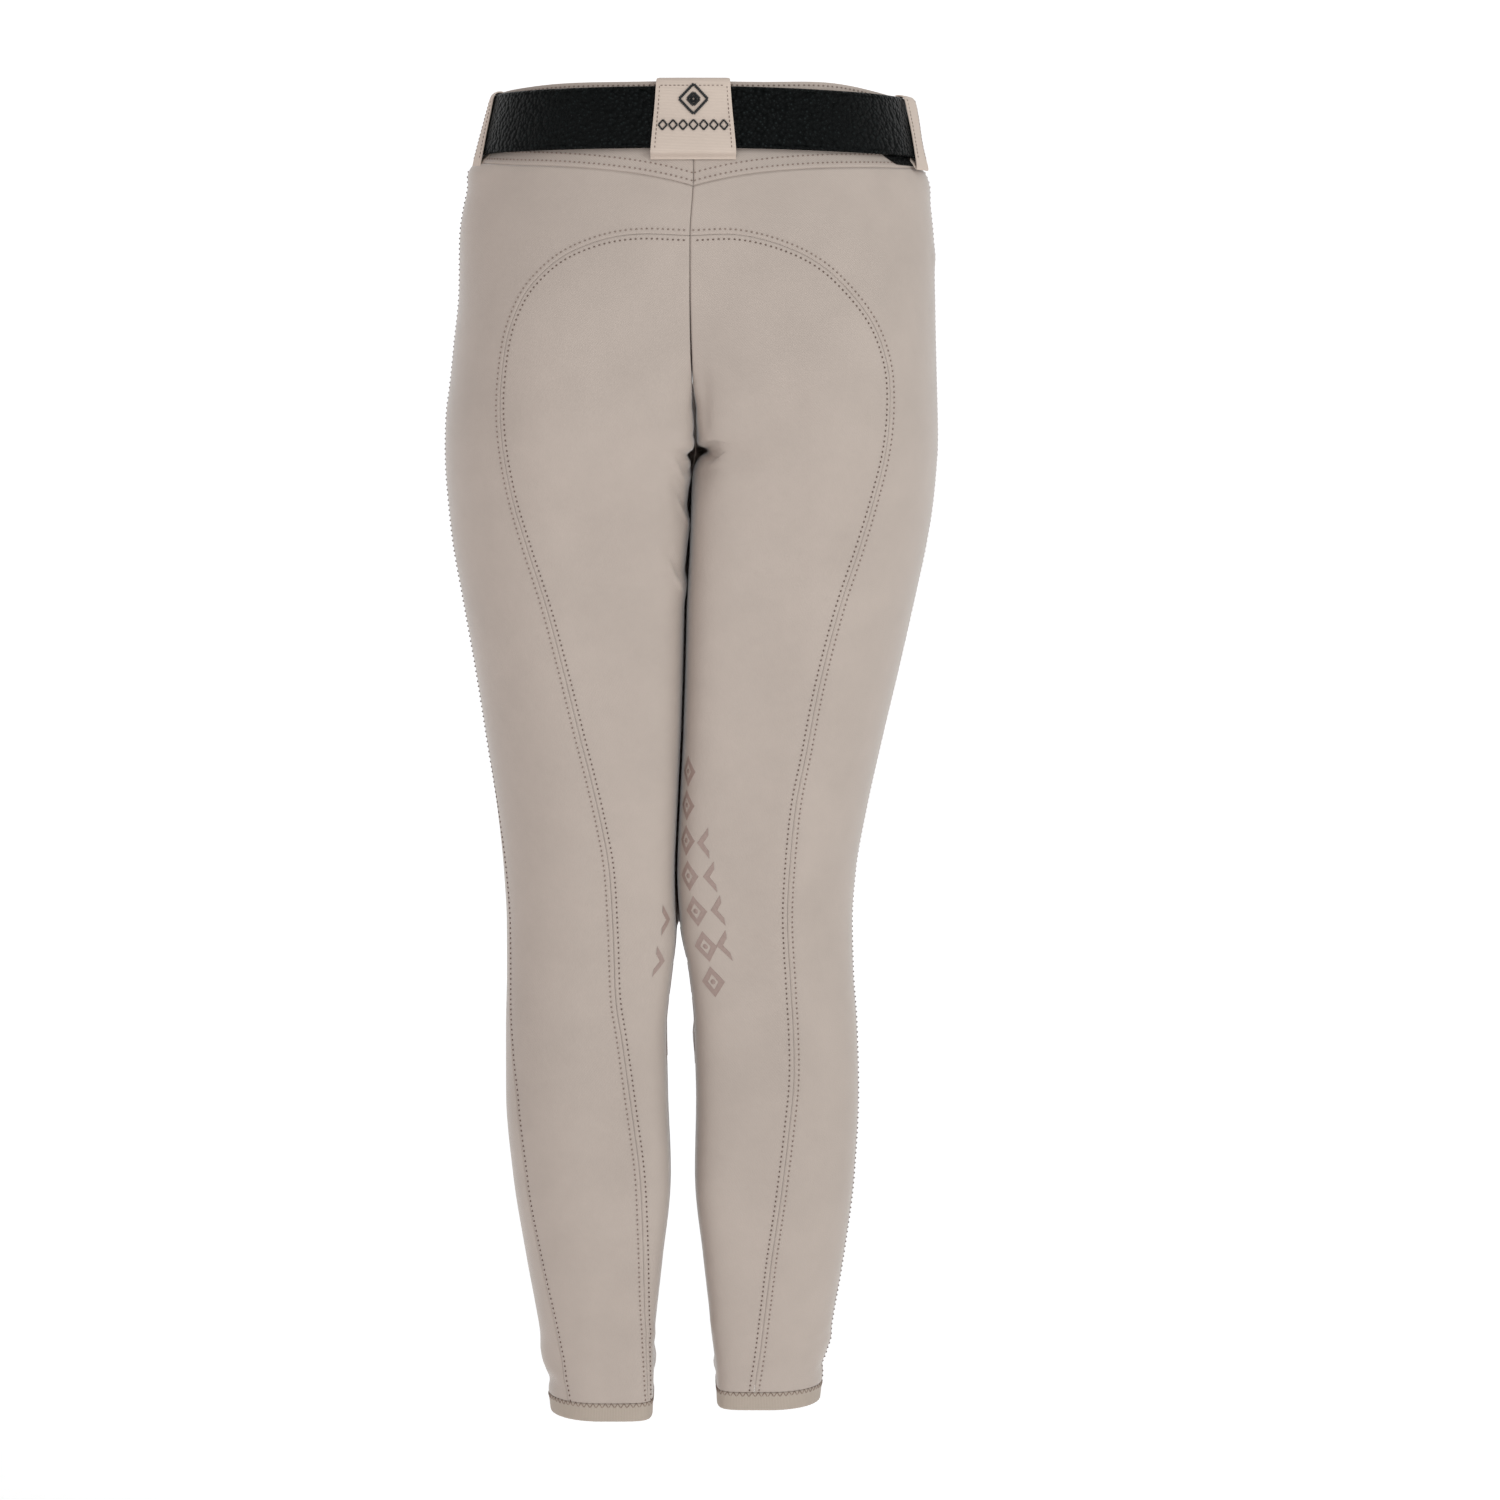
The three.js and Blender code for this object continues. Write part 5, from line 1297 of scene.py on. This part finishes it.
def side_loop(side):
    half = HALVES[side]
    total = float(half.total(0.0))
    t = float(np.interp(0.0, half.heights, half.outs)) - SIDE_LOOP_BEHIND[side] / total
    distance = (1 - t) * BELT_RIGHT if side == RIGHT else CENTRE_BACK + t * BELT_LEFT
    top = float(belt_middle(distance)) + BELT_WIDTH / 2 + 0.9
    low = float(belt_middle(distance)) - BELT_WIDTH / 2
    turn = low - SIDE_LOOP_DROP
    path = [
        [LOOP_IN, low + 6], [LOOP_IN, low + 1], [LOOP_IN + 1.0, low - 1.8], [LOOP_IN + 3.2, low - 4.4],
        [LOOP_OUT - 1.2, turn + 0.3], [LOOP_OUT - 0.4, turn], [LOOP_OUT, turn + 1.4], [LOOP_OUT, low + 4],
        [LOOP_OUT, -5], [LOOP_OUT, 8], [LOOP_OUT, top - 2],
        [LOOP_OUT - 1.2, top - 0.1], [LOOP_IN + 2, top + 0.5], [LOOP_IN, top + 0.2],
    ]

    def leaning_point(station, z, offset):
        return side_loop_point(side, distance, station, z, offset)

    stations = distance + np.linspace(-1, 1, 15) * SIDE_LOOP_WIDTH / 2
    name = f"side_loop_{SIDE_NAME[side]}"
    loop = ribbon(name, path, LOOP_THICK, stations, leaning_point, LOOP_CLOTH)
    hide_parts(f"loop_{SIDE_NAME[side]}")
    return loop, distance


def back_loop_place(s, z, offset):
    half_width = mix(BACK_LOOP_BOTTOM, BACK_LOOP_TOP, smooth((z - BACK_LOOP_LOW) / 50)) / 2
    return band_point(CENTRE_BACK - s * half_width, z, offset)


def back_loop():
    fold = float(waist_top_z(RIGHT, np.array(0.0))) + 0.9
    inside = -2.0 - LOOP_CLEAR - LOOP_THICK / 2
    path = [
        [LOOP_IN, BACK_LOOP_LOW], [LOOP_IN + 0.4, BACK_LOOP_LOW + 1.6], [LOOP_OUT - 1, BACK_LOOP_LOW + 4.6],
        [LOOP_OUT, BACK_LOOP_LOW + 7], [LOOP_OUT, -10], [LOOP_OUT, 5], [LOOP_OUT, fold - 3],
        [LOOP_OUT - 1.2, fold - 0.6], [LOOP_IN + 1, fold + 0.6], [inside + 2.6, fold + 0.7],
        [inside + 0.9, fold + 0.3], [inside, fold - 1], [inside, fold - BACK_LOOP_TUCK],
    ]
    stations = np.linspace(-1, 1, 31)
    loop = ribbon("wide_back_loop", path, LOOP_THICK, stations, back_loop_place, LOOP_CLOTH)
    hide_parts("loop_back")
    return loop


loops = {side: side_loop(side) for side in (LEFT, RIGHT)}
wide_loop = back_loop()


def loop_stitches():
    """Rows of stitches near the edges of the loops."""
    starts, ends, normals = [], [], []

    def row(points):
        outward_way = unit(points * np.array([1.0, 1.0, 0.0]))
        a, b, n = stitch_ends(points, outward_way, 2.9, 2.0)
        starts.append(a)
        ends.append(b)
        normals.append(n)

    out = LOOP_OUT + LOOP_THICK / 2 + 0.1
    heights = np.linspace(BACK_LOOP_LOW + 7, 22.0, 60)
    for s in (-0.9, 0.9):
        row(back_loop_place(np.full(60, s), heights, np.full(60, out)))
    across = np.linspace(-0.9, 0.9, 60)
    row(back_loop_place(across, np.full(60, 22.2), np.full(60, out)))
    for side, (_, distance) in loops.items():
        heights = np.linspace(-24.0, 18.0, 60)
        for s in (-0.8, 0.8):
            station = distance + s * SIDE_LOOP_WIDTH / 2
            row(side_loop_point(side, distance, station, heights, np.full(60, out)))
    spindles("loop_stitches", *(np.concatenate(part) for part in (starts, ends, normals)), 0.6, THREAD)


loop_stitches()


# Ornament sewn on the wide loop: an open lozenge round a small one, over a row of small ones
ORNAMENT = {"centre_z": 13.0, "width": 19.0, "height": 20.0, "stroke": 2.3}
ORNAMENT_ROW = {"centre_z": -4.5, "width": 5.4, "height": 6.8, "stroke": 1.4, "pitch": 6.5, "count": 7}
LOOP_HALF_WIDTH = 26.0


def lozenge_outline(centre_x, centre_z, width, height):
    corners = [(0, height / 2), (width / 2, 0), (0, -height / 2), (-width / 2, 0), (0, height / 2)]
    places = []
    for (x0, z0), (x1, z1) in zip(corners, corners[1:]):
        for share in np.linspace(0, 1, 10, endpoint=False):
            places.append((centre_x + mix(x0, x1, share), centre_z + mix(z0, z1, share)))
    places.append(places[0])
    places = np.array(places)
    out = LOOP_OUT + LOOP_THICK / 2 + 0.12
    return back_loop_place(places[:, 0] / LOOP_HALF_WIDTH, places[:, 1], np.full(len(places), out))


def loop_ornament():
    big = ORNAMENT
    row = ORNAMENT_ROW
    marks = [(0, big["centre_z"], big["width"] * share, big["height"] * share, big["stroke"])
             for share in (1.0, 0.42, 0.2)]
    first = -(row["count"] - 1) / 2
    marks += [((first + k) * row["pitch"], row["centre_z"], row["width"], row["height"], row["stroke"])
              for k in range(row["count"])]
    starts, ends, normals, strokes = [], [], [], []
    for x, z, width, height, stroke in marks:
        points = lozenge_outline(x, z, width, height)
        starts.append(points[:-1])
        ends.append(mix(points[:-1], points[1:], 1.25))
        normals.append(unit(points * np.array([1.0, 1.0, 0.0]))[:-1])
        strokes.append(np.full(len(points) - 1, stroke))
    spindles("loop_ornament", *(np.concatenate(part) for part in (starts, ends, normals, strokes)),
             EMBROIDERY)


loop_ornament()

# Leather layer under the belt on the right
BACKING = {
    "rear_x": 121.0, "front_at": 84.0, "thick": 1.3, "clear": 0.4,
    "top": 13.0, "inset": 1.5, "drop": 8.0, "curve": 16.0,
}


def backing_mesh():
    half = HALVES[RIGHT]
    rear_t = float(half.t_of_x([BACKING["rear_x"]], [0.0])[0])
    length = (1 - rear_t) * BELT_RIGHT - BACKING["front_at"]
    along = spread(length, cell=3.0)
    t = rear_t + along / BELT_RIGHT
    middle = around_waist(BELT_LINE, RIGHT, t)
    low = middle - BELT_WIDTH / 2 + BACKING["inset"] - BACKING["drop"] * smooth(along / BACKING["curve"])
    share = spread(1.0, np.array([0, 0.01, 0.03]), np.array([0, 0.03]), 0.1)[:, None]
    z = mix(low, middle + BACKING["top"], share)
    t = np.broadcast_to(t, z.shape)
    points = half.point(t, z)
    normal = half.normal(t, z)
    lift = (fold_height(half, t, z) + BACKING["clear"])[..., None]
    outer = (points + normal * (lift + BACKING["thick"])).reshape(-1, 3)
    inner = (points + normal * lift).reshape(-1, 3)
    vertices, faces = thin_shell(outer, inner, grid_quads(np.arange(z.size).reshape(z.shape)))
    obj = add_mesh("leather_backing", vertices, faces, BACKING_LEATHER, smooth_angle=40)
    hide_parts("belt_backing")


backing_mesh()

# Fly placket on the left front
FLY = {"width": 36.0, "inset": 2.0, "bottom": -186.0, "round": 3.2, "row": 4.0, "thick": 1.2, "offset": 1.75}


def fly_mesh():
    half = HALVES[LEFT]
    share = np.concatenate([np.linspace(0, 0.06, 10)[:-1], np.linspace(0.06, 1, 50)])
    z = mix(FLY["bottom"], float(waist_seam_z(LEFT, np.array(1.0))) - 0.6, share)[:, None]
    reach = FLY["width"] * np.sqrt(1 - (1 - np.minimum(1, share * FLY["round"] + 0.1)) ** 2)[:, None]
    across = (spread(FLY["width"], EDGE_STEPS, EDGE_STEPS[:3]) / FLY["width"])[None, :]
    inset = mix(reach, FLY["inset"], across)
    t = 1 - inset / half.total(z)
    z = np.broadcast_to(z, t.shape)
    points = half.point(t, z)
    normal = half.normal(t, z)
    edge = np.minimum(reach - inset, FLY["row"])
    stitched = 0.25 * np.exp(-(reach - inset - FLY["row"]) ** 2)
    height = FLY["offset"] - 0.5 * np.exp(-(edge / 0.8) ** 2) - stitched
    outer = (points + normal * height[..., None]).reshape(-1, 3)
    inner = (points + normal * (FLY["offset"] - FLY["thick"])).reshape(-1, 3)
    quads = grid_quads(np.arange(t.size).reshape(t.shape))[:, ::-1]
    vertices, faces = thin_shell(outer, inner, quads)
    uv = np.stack([(t * half.total(z)).ravel(), z.ravel()], axis=1)
    obj = add_mesh("fly_placket", vertices, faces, CLOTH, np.concatenate([uv, uv]))
    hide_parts("fly")
    row_z = mix(FLY["bottom"], float(z.max()), share)
    row_reach = reach[:, 0] - FLY["row"]
    keep = row_reach > 2.5
    row_t = 1 - row_reach[keep] / half.total(row_z[keep])
    row_normal = half.normal(row_t, row_z[keep])
    row = half.point(row_t, row_z[keep]) + row_normal * (FLY["offset"] + 0.1)
    starts, ends, normals = stitch_ends(row, row_normal, STITCH_PITCH, STITCH_LENGTH)
    spindles("fly_stitches", starts, ends, normals, STITCH_WIDTH, THREAD)


fly_mesh()

# Grip print on the inner knees: open lozenges with a dot, on the seat panel and the front panel
GRIP_LIFT = 0.3
GRIP_WIDTH = 17.0
GRIP_HEIGHT = 22.0
GRIP_LINE = 4.4
GRIP_PITCH_T = 23.0
GRIP_PITCH_Z = 25.0
# Patch of print on the front panel: its first row, the middle and half height of its round edge
GRIP_TOP_Z = -436.0
GRIP_MIDDLE_Z = -540.0
GRIP_HALF_HEIGHT = 118.0
GRIP_REACH = 86.0
GRIP_BACK_TOP_Z = -535.0
# Corners of a lozenge, as shares of its width and height
GRIP_OUTLINE = [
    (0, 0.5), (0.30, 0.2), (0.5, 0), (0.30, -0.2),
    (0, -0.5), (-0.30, -0.2), (-0.5, 0), (-0.30, 0.2),
]
WHOLE = (0, 1, 2, 3, 4, 5, 6, 7)
INNER_HALF = (0, 1, 2, 3, 4)

# Motifs that show from behind: side, x, z, and the corners that the worn print keeps
GRIP_SHOWN = [
    (RIGHT, -2.6, -448, WHOLE), (RIGHT, -3.6, -472, WHOLE), (RIGHT, -4.0, -497, WHOLE),
    (RIGHT, -2.6, -522, WHOLE), (RIGHT, 2.6, -547, WHOLE), (RIGHT, 9.4, -572, WHOLE),
    (RIGHT, 14.8, -597, WHOLE),
    (RIGHT, 11.5, -498, INNER_HALF), (RIGHT, 16.0, -522, INNER_HALF), (RIGHT, 21.5, -546, INNER_HALF),
    (RIGHT, 25.5, -571, INNER_HALF),
    (LEFT, -21.0, -553, INNER_HALF), (LEFT, -26.0, -582, INNER_HALF),
]


def grip_places(half):
    """Motifs of one half: distance round from the inseam, positive on the front, height and kept corners."""
    places = []
    for side, x, z, kept in GRIP_SHOWN:
        if side == half.side:
            t = float(half.t_of_x([x], [z])[0])
            places.append((-t * float(half.total(z)), z, kept))
    for k in range(-1, 5):
        for j in range(9):
            z = GRIP_TOP_Z - j * GRIP_PITCH_Z - (k % 2) * GRIP_PITCH_Z / 2
            across = k * GRIP_PITCH_T
            off_middle = (z - GRIP_MIDDLE_Z) / GRIP_HALF_HEIGHT
            reach = GRIP_REACH * math.sqrt(max(0.0, 1 - off_middle ** 2))
            if across < reach and (k >= 0 or z < GRIP_BACK_TOP_Z):
                places.append((across, z, WHOLE))
    return places


def grip_print(half):
    vertices, faces = [], []
    size = len(GRIP_OUTLINE)
    hole_width = GRIP_WIDTH - 2 * GRIP_LINE
    hole_height = GRIP_HEIGHT - 2.4 * GRIP_LINE
    rings = [(GRIP_WIDTH, GRIP_HEIGHT, 0.02), (GRIP_WIDTH - 0.5, GRIP_HEIGHT - 0.6, GRIP_LIFT),
             (hole_width, hole_height, GRIP_LIFT), (hole_width - 0.5, hole_height - 0.6, 0.02)]
    for across, centre_z, kept in grip_places(half):
        start = len(vertices)
        for width, height, lift in rings:
            vertices.extend((across + x * width, centre_z + z * height, lift) for x, z in GRIP_OUTLINE)
        for r in range(len(rings) - 1):
            for i in range(size):
                n = (i + 1) % size
                if i in kept and n in kept:
                    faces.append([start + r * size + i, start + r * size + n,
                                  start + (r + 1) * size + n, start + (r + 1) * size + i])
        if len(kept) < size:
            continue
        start = len(vertices)
        for radius, lift in ((1.9, 0.02), (1.6, GRIP_LIFT)):
            for a in np.linspace(0, 2 * math.pi, size, endpoint=False):
                vertices.append((across + radius * math.sin(a), centre_z + radius * math.cos(a), lift))
        for i in range(size):
            n = (i + 1) % size
            faces.append([start + i, start + n, start + size + n, start + size + i])
        faces.append([start + size + i for i in range(size)])
    places = np.array(vertices)
    total = half.total(places[:, 1])
    t = np.where(places[:, 0] > 0, 1 - places[:, 0] / total, -places[:, 0] / total)
    points, normals = dressed(half, t, places[:, 1])
    points = points + normals * places[:, 2:3]
    if half.side == RIGHT:
        faces = [face[::-1] for face in faces]
    obj = add_mesh(f"grip_print_{SIDE_NAME[half.side]}", points, faces, GRIP, smooth_angle=50)


for half in HALVES.values():
    grip_print(half)

# Buckle, tabs and keeper keep their solids' form
SOLID_FINISH = {
    "buckle_frame": STEEL, "buckle_prong": STEEL, "buckle_tab_upper": BACKING_LEATHER,
    "buckle_tab_lower": BACKING_LEATHER, "belt_keeper": BACKING_LEATHER,
}
for name, finish in SOLID_FINISH.items():
    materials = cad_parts[name].data.materials
    materials.clear()
    materials.append(finish)

# Camera: behind the garment and a little above its middle
AIM_Z = -0.438
DISTANCE = 3.2
ELEVATION = math.radians(4.8)
LENS = 108.41
PICTURE_SIZE = 1500
CENTRE_LINE_AT = 692
camera_data = bpy.data.cameras.new("photo_camera")
camera_data.lens = LENS
camera_data.sensor_width = 36
camera_data.shift_x = (PICTURE_SIZE / 2 - CENTRE_LINE_AT) / PICTURE_SIZE
camera = bpy.data.objects.new("photo_camera", camera_data)
camera.location = (0, -DISTANCE * math.cos(ELEVATION), AIM_Z + DISTANCE * math.sin(ELEVATION))
camera.rotation_euler = Euler((math.pi / 2 - ELEVATION, 0, 0))
bpy.context.scene.collection.objects.link(camera)
bpy.context.scene.camera = camera

# Floor, backdrop and light
FLOOR_Z = -1.15
SWEEP_NEAR = -12.0
SWEEP_BEND = 5.0
SWEEP_FAR = 7.0
SWEEP_TOP = 6.0
SWEEP_HALF_WIDTH = 12.0
WHITE_GLOW = 0.35


def studio_sweep():
    """Pale floor that bends up into a backdrop far behind the garment."""
    bend = [(mix(SWEEP_BEND, SWEEP_FAR, math.sin(a)), FLOOR_Z + (SWEEP_FAR - SWEEP_BEND) * (1 - math.cos(a)))
            for a in np.linspace(0, math.pi / 2, 12)]
    profile = [(SWEEP_NEAR, FLOOR_Z), *bend, (SWEEP_FAR, SWEEP_TOP)]
    vertices = []
    for y, z in profile:
        vertices.append((-SWEEP_HALF_WIDTH, y, z))
        vertices.append((SWEEP_HALF_WIDTH, y, z))
    faces = [(2 * k, 2 * k + 1, 2 * k + 3, 2 * k + 2) for k in range(len(profile) - 1)]
    mesh = bpy.data.meshes.new("studio_sweep")
    mesh.from_pydata(vertices, [], faces)
    material, principled = shader("pale_floor", (0.9, 0.9, 0.9), 0.9)
    principled.inputs["Emission Color"].default_value = (1, 1, 1, 1)
    principled.inputs["Emission Strength"].default_value = WHITE_GLOW
    mesh.materials.append(material)
    sweep = bpy.data.objects.new("studio_sweep", mesh)
    bpy.context.scene.collection.objects.link(sweep)


studio_sweep()
world = bpy.data.worlds.new("studio_world")
bpy.context.scene.world = world
world.use_nodes = True
background = world.node_tree.nodes["Background"]
background.inputs["Color"].default_value = (1, 1, 1, 1)
background.inputs["Strength"].default_value = 0.62
bpy.context.scene.view_settings.view_transform = "Standard"


def soft_light(name, place, aim, size, power, colour=(1, 1, 1)):
    data = bpy.data.lights.new(name, "AREA")
    data.shape = "RECTANGLE"
    data.size = size[0]
    data.size_y = size[1]
    data.energy = power
    data.color = colour
    light = bpy.data.objects.new(name, data)
    light.location = place
    way = np.array(place, float) - np.array(aim, float)
    light.rotation_euler = Euler((math.atan2(math.hypot(way[0], way[1]), way[2]), 0,
                                  math.atan2(way[0], -way[1])))
    bpy.context.scene.collection.objects.link(light)


soft_light("key_softbox", (2.6, -3.2, 1.3), (0, 0, -0.4), (1.3, 1.7), 49, (0.90, 1.0, 1.0))
soft_light("front_softbox", (-0.8, -4.0, 1.5), (0, 0, -0.4), (2.4, 2.4), 18)
